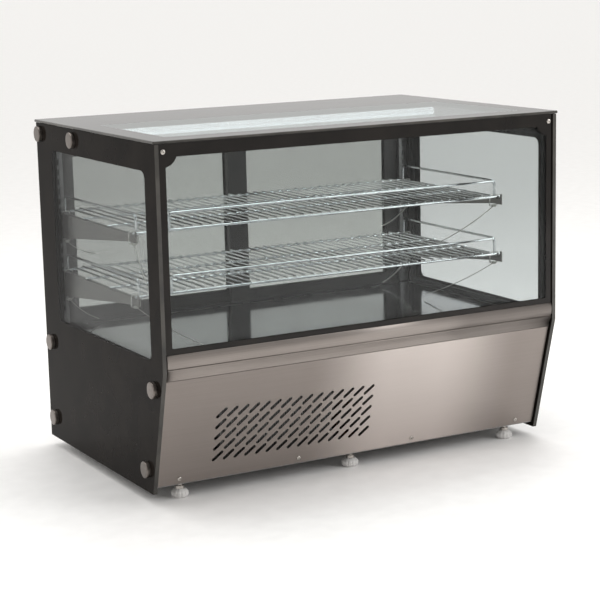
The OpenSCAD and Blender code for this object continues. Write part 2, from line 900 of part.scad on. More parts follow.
// Left bracket that carries a shelf at height rest_h. Two hooks go through the upright.
module bracket(rest_h) {
    nib_w = 7;
    nib_h = 8;
    hook_t = 4;
    hook_drop = 4;
    first = floor((rest_h - 14 - hole_z0) / hole_pitch);
    rear_y = upright_y - 0.3;
    translate([-upright_x - bracket_t / 2, 0, 0]) {
        along_x(0, bracket_t)
            polygon([
                [bracket_y0, rest_h - bracket_front_h], [bracket_y0 + 30, rest_h - bracket_front_h],
                [rear_y, rest_h - bracket_rear_h], [rear_y, rest_h],
                [bracket_y0 + nib_w, rest_h], [bracket_y0 + nib_w - 2, rest_h + nib_h],
                [bracket_y0 + 1, rest_h + nib_h], [bracket_y0, rest_h + nib_h - 2]
            ]);
        // Flange along the upper edge, under the ends of the shelf rods
        translate([0, bracket_y0 + nib_w + 4, rest_h - bracket_t])
            cube([bracket_flange, rear_y - bracket_y0 - nib_w - 8, bracket_t]);
        for (i = [first, first - 1])
            along_x(0, bracket_t) {
                zs = hole_z0 + i * hole_pitch + 5;
                translate([rear_y - 1, zs]) square([upright_t + hook_t + 1.6, 5]);
                translate([rear_y + upright_t + 0.6, zs - hook_drop]) square([hook_t, 5 + hook_drop]);
            }
    }
}

module upper_left_bracket() {
    color(stainless) bracket(upper_rest_h);
}

module upper_right_bracket() {
    color(stainless) mirror([1, 0, 0]) bracket(upper_rest_h);
}

module lower_left_bracket() {
    color(stainless) bracket(lower_rest_h);
}

module lower_right_bracket() {
    color(stainless) mirror([1, 0, 0]) bracket(lower_rest_h);
}

// Guard rail: a rod bent into an arch from one foot to another, a distance span along X
module guard_rail(span) {
    leg = guard_h - guard_r;
    bent([[leg, 0], [span - 2 * guard_r, 0], [leg, 0]], rod_d, guard_r);
}

// Wire shelf that rests at height rest_h: rods from side to side, wires on top of them,
// and three guard rails along the front and the sides
module wire_shelf(rest_h) {
    rod_z = rest_h + rod_d / 2 + weld_gap;
    wire_z = rod_z + (rod_d + wire_d) / 2 + weld_gap;
    guard_z = wire_z - wire_d / 2;
    rod_y = [shelf_y0, (2 * shelf_y0 + shelf_y1) / 3, (shelf_y0 + 2 * shelf_y1) / 3, shelf_y1];
    side_span = shelf_y1 - shelf_y0 - 2 * rod_d;
    for (y = rod_y)
        translate([-shelf_x, y, rod_z]) rotate([0, 90, 0])
            cylinder(d = rod_d, h = 2 * shelf_x, $fn = 24);
    for (i = [0 : wire_count - 1])
        translate([(i - (wire_count - 1) / 2) * wire_pitch, shelf_y0 - 1, wire_z])
            rotate([-90, 0, 0]) cylinder(d = wire_d, h = shelf_y1 - shelf_y0 + 2, $fn = 24);
    translate([front_guard_left, shelf_y0 - 1, guard_z])
        guard_rail(front_guard_right - front_guard_left);
    for (x = [-guard_x, guard_x])
        translate([x, shelf_y0 + rod_d, guard_z]) rotate([0, 0, 90]) guard_rail(side_span);
}

module upper_shelf() {
    color(chrome) wire_shelf(upper_rest_h);
}

module lower_shelf() {
    color(chrome) wire_shelf(lower_rest_h);
}

// Cable ties that hold the shelves to the front and rear ends of the brackets, with their
// uncut tails. Each row: shelf (0 lower, 1 upper), side, end (-1 front, 1 rear), and the
// end of the tail relative to the head.
tie_tails = [
    [1, 1, -1, [-50, 135, -90]],
    [1, -1, -1, [34, -25, -136]],
    [1, 1, 1, [-73, -1, -38]],
    [1, -1, 1, [60, -1, -30]],
    [0, 1, -1, [-69, 135, -86]],
    [0, -1, -1, [129, -14, -86]],
    [0, 1, 1, [-73, -1, -46]],
    [0, -1, 1, [60, -4, -46]]
];

// One tie: a loop round the bracket beside the end rod, the head below it, and the tail
module shelf_tie(side, end, rest_h, tail) {
    strap_w = 4.8;
    strap_t = 1.3;
    depth = end > 0 ? bracket_rear_h : bracket_front_h;
    loop_w = bracket_flange + 8;
    loop_h = depth + rod_d + 3;
    beside = 2 * rod_d + strap_w / 2 + 0.5;
    x = upright_x + bracket_t / 2 - bracket_flange / 2;
    y = end > 0 ? shelf_y1 - beside : shelf_y0 + beside;
    head_z = rest_h - depth - 4;
    len = norm(tail);
    translate([side * x, y, 0]) {
        difference() {
            translate([-loop_w / 2 - strap_t, -strap_w / 2, head_z + 1])
                cube([loop_w + 2 * strap_t, strap_w, loop_h + strap_t]);
            translate([-loop_w / 2, -strap_w, head_z + 1 + strap_t])
                cube([loop_w, 2 * strap_w, loop_h - strap_t]);
        }
        translate([-4, -3.2, head_z - 3.5]) cube([8, 6.4, 5]);
        translate([0, 0, head_z - 3])
            rotate([0, acos(tail[2] / len), atan2(tail[1], tail[0])])
                translate([-strap_t / 2, -strap_w / 2, 0]) cube([strap_t, strap_w, len]);
    }
}

module shelf_ties() {
    color([0.85, 0.84, 0.80, 0.8])
        for (t = tie_tails)
            shelf_tie(t[1], t[2], t[0] == 1 ? upper_rest_h : lower_rest_h, t[3]);
}

// ---------- lamp ----------

module lamp_holders() {
    color(black_plastic)
        for (x = [-1, 1])
            translate([x * (lamp_x - holder_l / 2), lamp_y, lamp_z])
                difference() {
                    translate([-holder_l / 2, -lamp_d / 2 - 3, -lamp_d / 2 - 3])
                        cube([holder_l, lamp_d + 6, side_top - lamp_z + lamp_d / 2 + 3 - fit]);
                    translate([-x * 3, 0, 0])
                        rotate([0, 90, 0])
                            cylinder(d = lamp_d + 0.6, h = holder_l, center = true, $fn = 48);
                }
}

module lamp_tube() {
    half = lamp_x - 4;
    color([0.95, 0.96, 0.97])
        translate([-half, lamp_y, lamp_z])
            rotate([0, 90, 0]) cylinder(d = lamp_d, h = 2 * half, $fn = 48);
}

// ---------- service panel and controls at the rear ----------

// Moves children to the rear face: X to the right seen from the front, Y up, Z outwards (rear)
module on_rear() {
    translate([0, service_y + sheet_t, 0]) rotate([90, 0, 0]) mirror([0, 0, 1]) children();
}

module service_panel() {
    louvre_rows = 6;
    color(galvanised)
        on_rear()
            translate([0, 0, -sheet_t])
                linear_extrude(sheet_t)
                    difference() {
                        translate([-trim_x, service_foot])
                            square([2 * trim_x, service_top - service_foot]);
                        translate([control_x, control_z])
                            square([control_w - 6, control_h - 2], center = true);
                        for (x = switch_x)
                            translate([x - switch_w / 2, control_z - switch_h / 2])
                                square([switch_w, switch_h]);
                        translate([gland_x, gland_z]) circle(d = gland_hole_d, $fn = 32);
                        for (r = [0 : louvre_rows - 1], c = [0 : 5])
                            translate([-340 + c * 62, 56 + r * 12]) round_slot(50, 5);
                    }
}

// Electronic thermostat: a bezel outside the panel, its case behind, three button holes
module controller() {
    bezel_t = 3;
    bezel_w = control_w + 8;
    bezel_h = control_h + 8;
    color(black_plastic)
        on_rear()
            translate([control_x, control_z, 0])
                difference() {
                    union() {
                        linear_extrude(bezel_t) round_rect(bezel_w, bezel_h, 4);
                        translate([-control_w / 2 + 4, -control_h / 2 + 4, -52])
                            cube([control_w - 8, control_h - 8, 53]);
                    }
                    // Window of the display
                    translate([-24, 1, bezel_t - 1]) cube([48, 14, 2]);
                    for (x = button_x)
                        translate([x - button_w / 2 - 0.3, -15.5, bezel_t - 6])
                            cube([button_w + 0.6, button_h + 0.6, 7]);
                }
}

// A thermostat button, standing 1 mm proud of the bezel
module thermostat_button(i) {
    color(grey_plastic)
        on_rear()
            translate([control_x + button_x[i], control_z - 15.2 + button_h / 2, -0.8])
                linear_extrude(4.6) round_rect(button_w, button_h, 1.2);
}

module set_button() thermostat_button(0);
module up_button() thermostat_button(1);
module down_button() thermostat_button(2);

module switch_bezels() {
    rim = 3;
    depth = 18;
    axle_hole_l = switch_w - 1.2;
    color(black_plastic)
        for (x = switch_x)
            on_rear()
                translate([x, control_z, 0])
                    difference() {
                        union() {
                            linear_extrude(2) round_rect(switch_w + 2 * rim, switch_h + 2 * rim, 2);
                            translate([-switch_w / 2 + 0.3, -switch_h / 2 + 0.3, -depth])
                                cube([switch_w - 0.6, switch_h - 0.6, depth + 1]);
                        }
                        translate([-switch_w / 2 + 1.5, -switch_h / 2 + 1.5, -8])
                            cube([switch_w - 3, switch_h - 3, 12]);
                        translate([0, 0, -2])
                            rotate([0, 90, 0])
                                cylinder(d = axle_d + 2 * run_fit, h = axle_hole_l, center = true, $fn = 24);
                    }
}

// Rocker with a shallow V face, resting on its lower half
module rocker(x) {
    half_h = switch_h / 2 - 2.2;
    w = switch_w - 4;
    on_rear()
        translate([x - w / 2, control_z, -2])
            rotate([-rocker_tilt, 0, 0])
                rotate([90, 0, 90]) {
                    linear_extrude(w)
                        polygon([
                            [-half_h, 5.2], [0, 3.6], [half_h, 5.2],
                            [half_h, 1.5], [2.5, -3], [-2.5, -3], [-half_h, 1.5]
                        ]);
                    // Stub axles that turn in the walls of the bezel
                    translate([0, 0, -0.7]) cylinder(d = axle_d, h = w + 1.4, $fn = 24);
                }
}

module power_rocker() {
    color([0.10, 0.45, 0.22]) rocker(switch_x[0]);
}

module light_rocker() {
    color(black_plastic) rocker(switch_x[1]);
}

// Gland where the mains lead enters; no lead is fitted
module cable_gland() {
    bore = 7.5;
    color(black_plastic)
        on_rear()
            translate([gland_x, gland_z, 0])
                difference() {
                    union() {
                        cylinder(d = 20, h = 2.4, $fn = 6);
                        translate([0, 0, 2.4]) cylinder(d = 14, h = 0.8, $fn = 32);
                        translate([0, 0, -10]) cylinder(d = gland_hole_d - 0.4, h = 10.2, $fn = 32);
                        translate([0, 0, -sheet_t - 5.2]) cylinder(d = 19, h = 5, $fn = 6);
                    }
                    translate([0, 0, -12]) cylinder(d = bore, h = 20, $fn = 32);
                }
}

// ---------- refrigeration ----------

// Hermetic compressor: welded pot on a base plate with four rubber mounts
module compressor() {
    r = compressor_d / 2;
    seam = 82;
    plate = compressor_d + 20;
    color([0.13, 0.13, 0.14])
        translate([compressor_x, compressor_y, machine_floor]) {
            translate([0, 0, 16])
                rotate_extrude($fn = 64)
                    polygon([
                        [0, 0], [r * 0.6, 0], [r * 0.9, 10], [r, 30], [r, seam - 16],
                        [r + 3, seam - 16], [r + 3, seam - 12], [r, seam - 12],
                        [r * 0.97, 110], [r * 0.8, 138], [r * 0.4, 150], [0, 152]
                    ]);
            translate([-plate / 2, -plate * 0.4, 13]) cube([plate, plate * 0.8, 3.2]);
            for (x = [-1, 1], y = [-1, 1])
                translate([x * (plate / 2 - 10), y * (plate * 0.4 - 10), 0]) {
                    cylinder(d = 18, h = 13.1, $fn = 32);
                    translate([0, 0, 16]) cylinder(d = 12, h = 6, $fn = 6);
                }
            // Cover over the electrical terminals
            translate([r - 8, -26, 46]) cube([34, 52, 56]);
            // Stubs for the discharge line and the suction line
            translate([0, 0, discharge_z - machine_floor])
                rotate([0, -90, 0]) cylinder(d = pipe_d + 2, h = pot_stub, $fn = 24);
            translate([0, 0, suction_z - machine_floor])
                rotate([0, 90, 0]) cylinder(d = pipe_d + 2, h = pot_stub, $fn = 24);
        }
}

// Condenser coil in the air stream behind the front slots
module condenser() {
    w = cond_x1 - cond_x0;
    rows = 4;
    mid_x = (cond_x0 + cond_x1) / 2;
    color([0.55, 0.56, 0.58])
        translate([mid_x, cond_y0 + cond_d / 2, cond_foot]) {
            finned_block(w - 40 + end_t, cond_d, cond_h);
            // End plates, which also hold the fan
            for (side = [0, 1])
                mirror([side, 0, 0])
                    translate([w / 2 - 20, -cond_d / 2, 0])
                        cube([end_t, cond_d + cond_fan_gap + 2, cond_h]);
            // Return bends at both ends
            for (side = [0, 1], i = [0 : rows - 1])
                mirror([side, 0, 0])
                    translate([w / 2 - 20 + end_t / 2, 0, 38 + i * 28])
                        rotate([0, 90, 0])
                            bent([[3, 0], [1, 0], [3, 0]], pipe_d, return_r);
            // Inlet and outlet stubs
            translate([-w / 2 + 20 - end_t / 2, 0, cond_in_z - cond_foot])
                rotate([0, -90, 0]) cylinder(d = pipe_d + 2, h = stub_l - end_t / 2, $fn = 24);
            translate([w / 2 - 20 + end_t / 2, 0, cond_out_z - cond_foot])
                rotate([0, 90, 0]) cylinder(d = pipe_d + 2, h = stub_l - end_t / 2, $fn = 24);
        }
}

// Places children on a fan axis that points to the rear
module fan_axis(x, y, z) {
    translate([x, y, z]) rotate([-90, 0, 0]) children();
}

module condenser_fan_frame() {
    color(black_plastic)
        fan_axis(cond_fan_x, cond_fan_y, cond_fan_z)
            fan_frame(cond_x1 - cond_x0 - 40, cond_h, cond_fan_d, 34);
}

module condenser_fan_blade() {
    color([0.70, 0.71, 0.72])
        fan_axis(cond_fan_x, cond_fan_y + 14, cond_fan_z) fan_wheel(cond_fan_d, 5, 18);
}

module evaporator() {
    w = evap_x1 - evap_x0;
    mid_x = (evap_x0 + evap_x1) / 2;
    drop = evap_foot - well_foot - well_wall;
    color([0.70, 0.71, 0.73])
        translate([mid_x, evap_y0 + evap_d / 2, evap_foot]) {
            finned_block(w - 30 + end_t, evap_d, evap_h);
            // End plates, which stand on the floor of the well and hold the fan
            for (side = [0, 1])
                mirror([side, 0, 0])
                    translate([w / 2 - 15, -evap_d / 2, -drop])
                        cube([end_t, evap_d + evap_fan_gap + 2, evap_h + drop]);
            for (side = [0, 1], z = [19, 53, 84])
                mirror([side, 0, 0])
                    translate([w / 2 - 15 + end_t / 2, 0, z])
                        rotate([0, 90, 0])
                            bent([[3, 0], [1, 0], [3, 0]], pipe_d, return_r);
            // Stubs for the liquid line and the suction line
            for (z = [liquid_z, suction_z])
                translate([-w / 2 + 15 - end_t / 2, 0, z - evap_foot])
                    rotate([0, -90, 0]) cylinder(d = pipe_d + 2, h = stub_l - end_t / 2, $fn = 24);
        }
}

module evaporator_fan_frame() {
    color(black_plastic)
        fan_axis(evap_fan_x, evap_fan_y, evap_fan_z)
            fan_frame(evap_x1 - evap_x0 - 30, evap_h - 4, evap_fan_d, 26);
}

module evaporator_fan_blade() {
    color(grey_plastic)
        fan_axis(evap_fan_x, evap_fan_y + 10, evap_fan_z) fan_wheel(evap_fan_d, 4, 12);
}

// Discharge line, suction line, and liquid line with its filter drier
module refrigerant_pipes() {
    run_x = cond_x0 - 12;         // discharge line, beside the condenser
    rise_x = well_x0 - 30;        // suction and liquid lines, beside the well
    cond_in_x = cond_x0 + 20 - stub_l;
    cond_out_x = cond_x1 - 20 + stub_l;
    evap_x = evap_x0 + 15 - stub_l;
    r = pipe_r;
    drier_l = 56;
    color(copper) {
        // Compressor to condenser
        translate([compressor_x - pot_stub, compressor_y, discharge_z])
            rotate([0, -90, 0])
                bent([
                    [compressor_x - pot_stub - run_x - r, -90],
                    [compressor_y - cond_pipe_y - 2 * r, 0],
                    [cond_in_x - run_x - r, 0]
                ], pipe_d, r);
        // Compressor to evaporator
        translate([compressor_x + pot_stub, compressor_y, suction_z])
            rotate([0, 90, 0])
                bent([
                    [rise_x - compressor_x - pot_stub - r, -90],
                    [compressor_y - evap_pipe_y - 2 * r, 180],
                    [evap_x - rise_x - r, 0]
                ], pipe_d, r);
        // Condenser to evaporator, with the drier on the stretch towards the rear
        translate([cond_out_x, cond_pipe_y, cond_out_z])
            rotate([0, 90, 0])
                bent([
                    [rise_x - cond_out_x - r, 90],
                    [evap_pipe_y - cond_pipe_y - 2 * r, 90],
                    [liquid_z - cond_out_z - 2 * r, 90],
                    [evap_x - rise_x - r, 0]
                ], pipe_d, r);
        translate([rise_x, (cond_pipe_y + evap_pipe_y - drier_l) / 2, cond_out_z])
            rotate([-90, 0, 0]) cylinder(d = 2.2 * pipe_d, h = drier_l, $fn = 32);
    }
}

// ---------- sliding doors ----------

// Door frame with its outer stile at -X, centred on y, as seen from the front
module door_frame(y) {
    pane_x0 = -door_x + stile_w;
    pane_w = door_w - 2 * stile_w;
    pane_h = door_h - 2 * door_rail_h;
    pull_z = (door_foot_h + door_top_h) / 2;
    difference() {
        translate([-door_x, y - door_t / 2, door_foot_h]) cube([door_w, door_t, door_h]);
        translate([pane_x0, y - door_t, door_foot_h + door_rail_h]) cube([pane_w, 2 * door_t, pane_h]);
        // Groove round the window that holds the panes
        translate([pane_x0 - 6, y - 4.5, door_foot_h + door_rail_h - 6])
            cube([pane_w + 12, 9, pane_h + 12]);
        // Recessed finger pull, open to the rear
        translate([-door_x + (stile_w - pull_w) / 2 - 3, y + door_t / 2 - pull_depth, pull_z - pull_h / 2])
            cube([pull_w, pull_depth + 1, pull_h]);
    }
}

// Double pane of a door, held in the groove of its frame
module door_glass(y) {
    play = 0.3;
    x0 = -door_x + stile_w - 6 + play;
    w = door_w - 2 * stile_w + 12 - 2 * play;
    z0 = door_foot_h + door_rail_h - 6 + play;
    h = door_h - 2 * door_rail_h + 12 - 2 * play;
    for (dy = [-4.2, 4.2 - door_pane_t])
        translate([x0, y + dy, z0]) cube([w, door_pane_t, h]);
}

module left_door_frame() {
    color(black_plastic) door_frame(outer_door_y);
}

module left_door_glass() {
    color(glass_tint) door_glass(outer_door_y);
}

module right_door_frame() {
    color(black_plastic) mirror([1, 0, 0]) door_frame(inner_door_y);
}

module right_door_glass() {
    color(glass_tint) mirror([1, 0, 0]) door_glass(inner_door_y);
}

// ---------- feet ----------

// Levelling foot: scalloped pad on a threaded stem
module levelling_foot(x, y) {
    r = foot_d / 2;
    scallops = 12;
    color(grey_plastic)
        translate([x, y, 0]) {
            difference() {
                rotate_extrude($fn = 64)
                    polygon([
                        [0, 0], [r * 0.74, 0], [r * 0.92, 2], [r, 5], [r, 10],
                        [r * 0.82, 14], [r * 0.62, foot_pad_h], [0, foot_pad_h]
                    ]);
                for (i = [0 : scallops - 1])
                    rotate([0, 0, (i + 0.5) * 360 / scallops])
                        translate([r + 1.4, 0, -1]) cylinder(r = 2.6, h = foot_pad_h + 2, $fn = 16);
            }
            translate([0, 0, foot_pad_h - 1]) cylinder(d = stem_d + 8, h = 7, $fn = 6);
            translate([0, 0, foot_pad_h - 1])
                cylinder(d = stem_d, h = foot_h + nut_h + 8 - foot_pad_h, $fn = 32);
        }
}

module front_left_foot() levelling_foot(-foot_spacing, foot_front_y);
module front_middle_foot() levelling_foot(0, foot_front_y);
module front_right_foot() levelling_foot(foot_spacing, foot_front_y);
module rear_left_foot() levelling_foot(-foot_spacing, foot_rear_y);
module rear_middle_foot() levelling_foot(0, foot_rear_y);
module rear_right_foot() levelling_foot(foot_spacing, foot_rear_y);

top_glass();
top_seal();
front_glass();
front_inner_pane();
glazing_spacers();
left_side_glass();
right_side_glass();
left_inner_pane();
right_inner_pane();
disc_caps();
glass_screws();
top_frame();
upper_track();
lower_track();
left_rear_column();
right_rear_column();
front_trim();
front_panel();
panel_screws();
base_pan();
insulated_floor();
floor_deck();
left_upright();
right_upright();
upper_left_bracket();
upper_right_bracket();
lower_left_bracket();
lower_right_bracket();
upper_shelf();
lower_shelf();
shelf_ties();
lamp_holders();
lamp_tube();
service_panel();
controller();
set_button();
up_button();
down_button();
switch_bezels();
power_rocker();
light_rocker();
cable_gland();
compressor();
condenser();
condenser_fan_frame();
condenser_fan_blade();
evaporator();
evaporator_fan_frame();
evaporator_fan_blade();
refrigerant_pipes();
left_door_frame();
left_door_glass();
right_door_frame();
right_door_glass();
front_left_foot();
front_middle_foot();
front_right_foot();
rear_left_foot();
rear_middle_foot();
rear_right_foot();
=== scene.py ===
# %% [markdown]
# # A refrigerated bakery display case
#
# The real object stands on a counter: a glass box with printed dark borders, two chrome wire
# shelves, and a stainless steel base that hides the cooling unit. The imported model already holds
# every part at its true size and place. This lesson keeps those places and gives each part its
# real edges, its curves and its finish.
#
# The first step loads the imported model and moves each part's placement into its points.

import json
import math

import bmesh
import bpy
from mathutils import Matrix, Vector


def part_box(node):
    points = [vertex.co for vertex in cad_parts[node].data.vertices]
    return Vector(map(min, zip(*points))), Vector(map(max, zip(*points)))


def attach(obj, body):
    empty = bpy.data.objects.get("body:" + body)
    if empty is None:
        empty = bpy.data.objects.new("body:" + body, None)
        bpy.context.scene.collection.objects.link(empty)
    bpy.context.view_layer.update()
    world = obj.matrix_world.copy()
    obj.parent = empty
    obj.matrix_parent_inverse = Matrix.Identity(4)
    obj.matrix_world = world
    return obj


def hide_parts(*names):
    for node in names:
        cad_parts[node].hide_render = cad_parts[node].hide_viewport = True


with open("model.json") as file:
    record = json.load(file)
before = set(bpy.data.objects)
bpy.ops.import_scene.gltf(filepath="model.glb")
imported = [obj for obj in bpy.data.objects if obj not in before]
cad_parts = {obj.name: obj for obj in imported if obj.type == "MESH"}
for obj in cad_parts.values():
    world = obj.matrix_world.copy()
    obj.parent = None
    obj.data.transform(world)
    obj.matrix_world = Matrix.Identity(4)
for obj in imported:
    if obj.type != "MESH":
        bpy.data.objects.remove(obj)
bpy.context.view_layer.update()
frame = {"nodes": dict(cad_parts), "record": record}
nodes = frame["nodes"]
bodies = frame["record"]["behaviour"]["bodies"]
body_of = {node: body for body, members in bodies.items() for node in members}
MM = 0.001
print("nodes:", len(nodes), "bodies:", len(bodies))

# %% [markdown]
# ## Two small tools for materials
#
# Colours are written as they look on a screen, in sRGB hex, and Blender's shaders want linear
# light, so one function converts them. The other adds a shader node, sets its properties and
# fills its sockets, either with a value or with a link from another node.

# %% Colour and node tools
def linear(hex_text):
    """sRGB hex such as 'a09992' to linear RGBA."""
    parts = [int(hex_text[i:i + 2], 16) / 255 for i in (0, 2, 4)]
    return (*[v / 12.92 if v <= 0.04045 else ((v + 0.055) / 1.055) ** 2.4 for v in parts], 1.0)


def add(tree, kind, sockets=(), **settings):
    """Adds a node; sockets maps an input's name or number to a value or to an output."""
    node = tree.nodes.new(kind)
    for name, value in settings.items():
        setattr(node, name, value)
    for key, value in dict(sockets).items():
        if isinstance(value, bpy.types.NodeSocket):
            tree.links.new(value, node.inputs[key])
        else:
            node.inputs[key].default_value = value
    return node


def new_material(name):
    """An empty material, with its node tree and its object coordinates in metres."""
    material = bpy.data.materials.new(name)
    material.use_nodes = True
    tree = material.node_tree
    tree.nodes.clear()
    place = add(tree, "ShaderNodeTexCoord").outputs["Object"]
    return material, tree, place


def show(tree, shader):
    """Sends a shader's output to the surface."""
    add(tree, "ShaderNodeOutputMaterial", {"Surface": shader})


def stretched_noise(tree, place, size_mm, detail=3.0):
    """Noise whose grains are size_mm long along X, Y and Z."""
    scale = [1 / (s * MM) for s in size_mm]
    turned = add(tree, "ShaderNodeMapping", {"Vector": place, "Scale": scale})
    noise = add(tree, "ShaderNodeTexNoise",
                {"Vector": turned.outputs[0], "Scale": 1.0, "Detail": detail})
    return noise.outputs[0]


def remap(tree, value, low, high, from_low=0.3, from_high=0.7):
    """Maps a noise value, which stays near the middle, to low..high."""
    ranged = add(tree, "ShaderNodeMapRange", {
        "Value": value, "From Min": from_low, "From Max": from_high,
        "To Min": low, "To Max": high})
    return ranged.outputs[0]


def two_tone(tree, value, dark, light):
    """Mixes two sRGB hex colours by value."""
    mix = add(tree, "ShaderNodeMix", {0: value, 6: linear(dark), 7: linear(light)},
              data_type="RGBA")
    return mix.outputs[2]


def bumped(tree, height, depth_mm, strength=0.5):
    """Turns a height of 0..1 into a normal, depth_mm deep."""
    bump = add(tree, "ShaderNodeBump",
               {"Height": height, "Distance": depth_mm * MM, "Strength": strength})
    return bump.outputs[0]


# %% [markdown]
# ## Metals
#
# The base is AISI 304 sheet with a directional grind: a belt leaves scratches that run along the
# sheet, so highlights smear across them. Long thin noise stands in for the scratches. A real
# scratch is a few hundredths of a millimetre wide, too fine to show, so it is drawn 1 mm wide.
# The front panel also carries a painted reflection: one broad brighter area, right of its middle,
# painted into the steel's colour. It stands in for the reflection of a room, which this plain
# studio doesn't have. It is part of the material, so it stays put when the view changes, as a
# real reflection wouldn't. The shelves are nickel-chrome plated wire, the uprights and brackets
# are zinc coated sheet.

# %% Ground stainless steel sheet
# The painted reflection on the front panel: a broad band of lighter colour, full in its core and
# fading out to its half width.
PAINTED_REFLECTION_CORE = 0.2       # share of the bright area's half width that has its full tone
PAINTED_REFLECTION_TONE = 0.92      # how far that tone lies from dark to light
GRAIN_TONE = 0.08       # how far the grain changes the tone of such a sheet


def ground_stainless(name, dark, light, rough, grain_mm=(220, 1.0, 1.0), painted_reflection=None):
    """Steel between two tones. painted_reflection is the middle and half width in x of a painted
    reflection, a lighter band, if it has one.
    """
    material, tree, place = new_material(name)
    grain = stretched_noise(tree, place, grain_mm, 4.0)
    tone = remap(tree, grain, 0.0, 1.0)
    # Painted reflection: the colour grows lighter towards x = middle, and the grain adds only a
    # little to it.
    if painted_reflection:
        middle, half_width = painted_reflection
        x = add(tree, "ShaderNodeSeparateXYZ", {0: place}).outputs[0]
        off = add(tree, "ShaderNodeMath", {0: x, 1: middle}, operation="SUBTRACT").outputs[0]
        away = add(tree, "ShaderNodeMath", {0: off}, operation="ABSOLUTE").outputs[0]
        bright = add(tree, "ShaderNodeMapRange", {
            "Value": away, "From Min": PAINTED_REFLECTION_CORE * half_width, "From Max": half_width,
            "To Min": PAINTED_REFLECTION_TONE, "To Max": 0.0}, interpolation_type="SMOOTHSTEP").outputs[0]
        tone = add(tree, "ShaderNodeMath", {
            0: remap(tree, grain, 0.0, GRAIN_TONE), 1: bright}, operation="ADD").outputs[0]
    smudge = stretched_noise(tree, place, (90, 70, 60), 2.0)
    rough_value = add(tree, "ShaderNodeMath", {
        0: remap(tree, grain, rough - 0.05, rough + 0.06),
        1: remap(tree, smudge, -0.03, 0.05)}, operation="ADD")
    shader = add(tree, "ShaderNodeBsdfPrincipled", {
        "Base Color": two_tone(tree, tone, dark, light),
        "Metallic": 1.0, "Roughness": rough_value.outputs[0],
        "Normal": bumped(tree, grain, 0.01, 0.05)})
    show(tree, shader.outputs[0])
    return material


stainless = ground_stainless("ground stainless steel", "8f8782", "9b948f", 0.36)
# The front panel's steel carries a painted reflection right of its middle.
panel_steel_with_painted_reflection = ground_stainless(
    "panel steel with painted reflection", "8b837e", "cbc2bd", 0.36, painted_reflection=(115 * MM, 250 * MM))
deck_steel = ground_stainless(
    "polished stainless floor", "a9a9ac", "c2c2c5", 0.10, grain_mm=(160, 2.0, 2.0))

# %% Chrome plated wire
# Bright chrome: a mirror with a trace of blue, a little haze left by handling.
chrome, tree, place = new_material("chrome plated wire")
haze = stretched_noise(tree, place, (25, 25, 25), 2.0)
shader = add(tree, "ShaderNodeBsdfPrincipled", {
    "Base Color": two_tone(tree, remap(tree, haze, 0.0, 1.0), "d9dcdd", "f1f3f4"),
    "Metallic": 1.0, "Roughness": remap(tree, haze, 0.06, 0.14)})
show(tree, shader.outputs[0])

# %% Zinc coated sheet
# Hot dipped zinc freezes in crystals, called spangle, 6 to 12 mm across, each a little
# brighter or duller than its neighbour.
def zinc_sheet(name, dark, light, spangle_mm=9.0):
    material, tree, place = new_material(name)
    crystals = add(tree, "ShaderNodeTexVoronoi",
                   {"Vector": place, "Scale": 1 / (spangle_mm * MM)}, feature="F1")
    tone = add(tree, "ShaderNodeSeparateColor", {0: crystals.outputs["Color"]}).outputs[0]
    shader = add(tree, "ShaderNodeBsdfPrincipled", {
        "Base Color": two_tone(tree, tone, dark, light),
        "Metallic": 0.85, "Roughness": remap(tree, tone, 0.36, 0.5, 0.0, 1.0)})
    show(tree, shader.outputs[0])
    return material


zinc = zinc_sheet("hot dipped zinc sheet", "8b8a89", "a3a2a1")
bracket_zinc = zinc_sheet("bright zinc plated steel", "827f7d", "97948f", 14.0)

# %% Turned aluminium and bright screws
# The caps are turned on a lathe and then handled, so their sheen is soft, with faint clouds
# about 6 mm across.
turned_caps, tree, place = new_material("turned aluminium caps")
sheen = stretched_noise(tree, place, (0.8, 6.0, 6.0), 2.0)
shader = add(tree, "ShaderNodeBsdfPrincipled", {
    "Base Color": two_tone(tree, remap(tree, sheen, 0.0, 1.0), "6c6560", "827b76"),
    "Metallic": 1.0, "Roughness": remap(tree, sheen, 0.28, 0.42)})
show(tree, shader.outputs[0])

screw_steel, tree, place = new_material("nickel plated screws")
wear = stretched_noise(tree, place, (3, 3, 3), 2.0)
shader = add(tree, "ShaderNodeBsdfPrincipled", {
    "Base Color": two_tone(tree, remap(tree, wear, 0.0, 1.0), "a8a39d", "cbc6c0"),
    "Metallic": 1.0, "Roughness": remap(tree, wear, 0.18, 0.34)})
show(tree, shader.outputs[0])

# %% Copper, mill aluminium and enamel
# Drawn copper tube darkens in patches. Fin stock is plain mill aluminium.
copper, tree, place = new_material("drawn copper tube")
patina = stretched_noise(tree, place, (30, 30, 30), 4.0)
shader = add(tree, "ShaderNodeBsdfPrincipled", {
    "Base Color": two_tone(tree, remap(tree, patina, 0.0, 1.0), "8a5238", "c98f6d"),
    "Metallic": 1.0, "Roughness": remap(tree, patina, 0.25, 0.45)})
show(tree, shader.outputs[0])

fin_stock, tree, place = new_material("mill aluminium fins")
dust = stretched_noise(tree, place, (2.5, 40, 18), 3.0)
shader = add(tree, "ShaderNodeBsdfPrincipled", {
    "Base Color": two_tone(tree, remap(tree, dust, 0.0, 1.0), "a3a3a2", "c9cacb"),
    "Metallic": 0.9, "Roughness": remap(tree, dust, 0.35, 0.55)})
show(tree, shader.outputs[0])

enamel, tree, place = new_material("black stoved enamel")
peel = stretched_noise(tree, place, (4, 4, 4), 2.0)
shader = add(tree, "ShaderNodeBsdfPrincipled", {
    "Base Color": two_tone(tree, remap(tree, peel, 0.0, 1.0), "121214", "1d1d20"),
    "Roughness": remap(tree, peel, 0.18, 0.30), "Coat Weight": 0.4, "Coat Roughness": 0.1,
    "Normal": bumped(tree, peel, 0.08, 0.3)})
show(tree, shader.outputs[0])

# %% [markdown]
# ## Plastics, rubber and foam
#
# Moulded plastic takes the grain of its mould, a fine leather-like texture about half a
# millimetre across. One function makes each of them from two close tones.

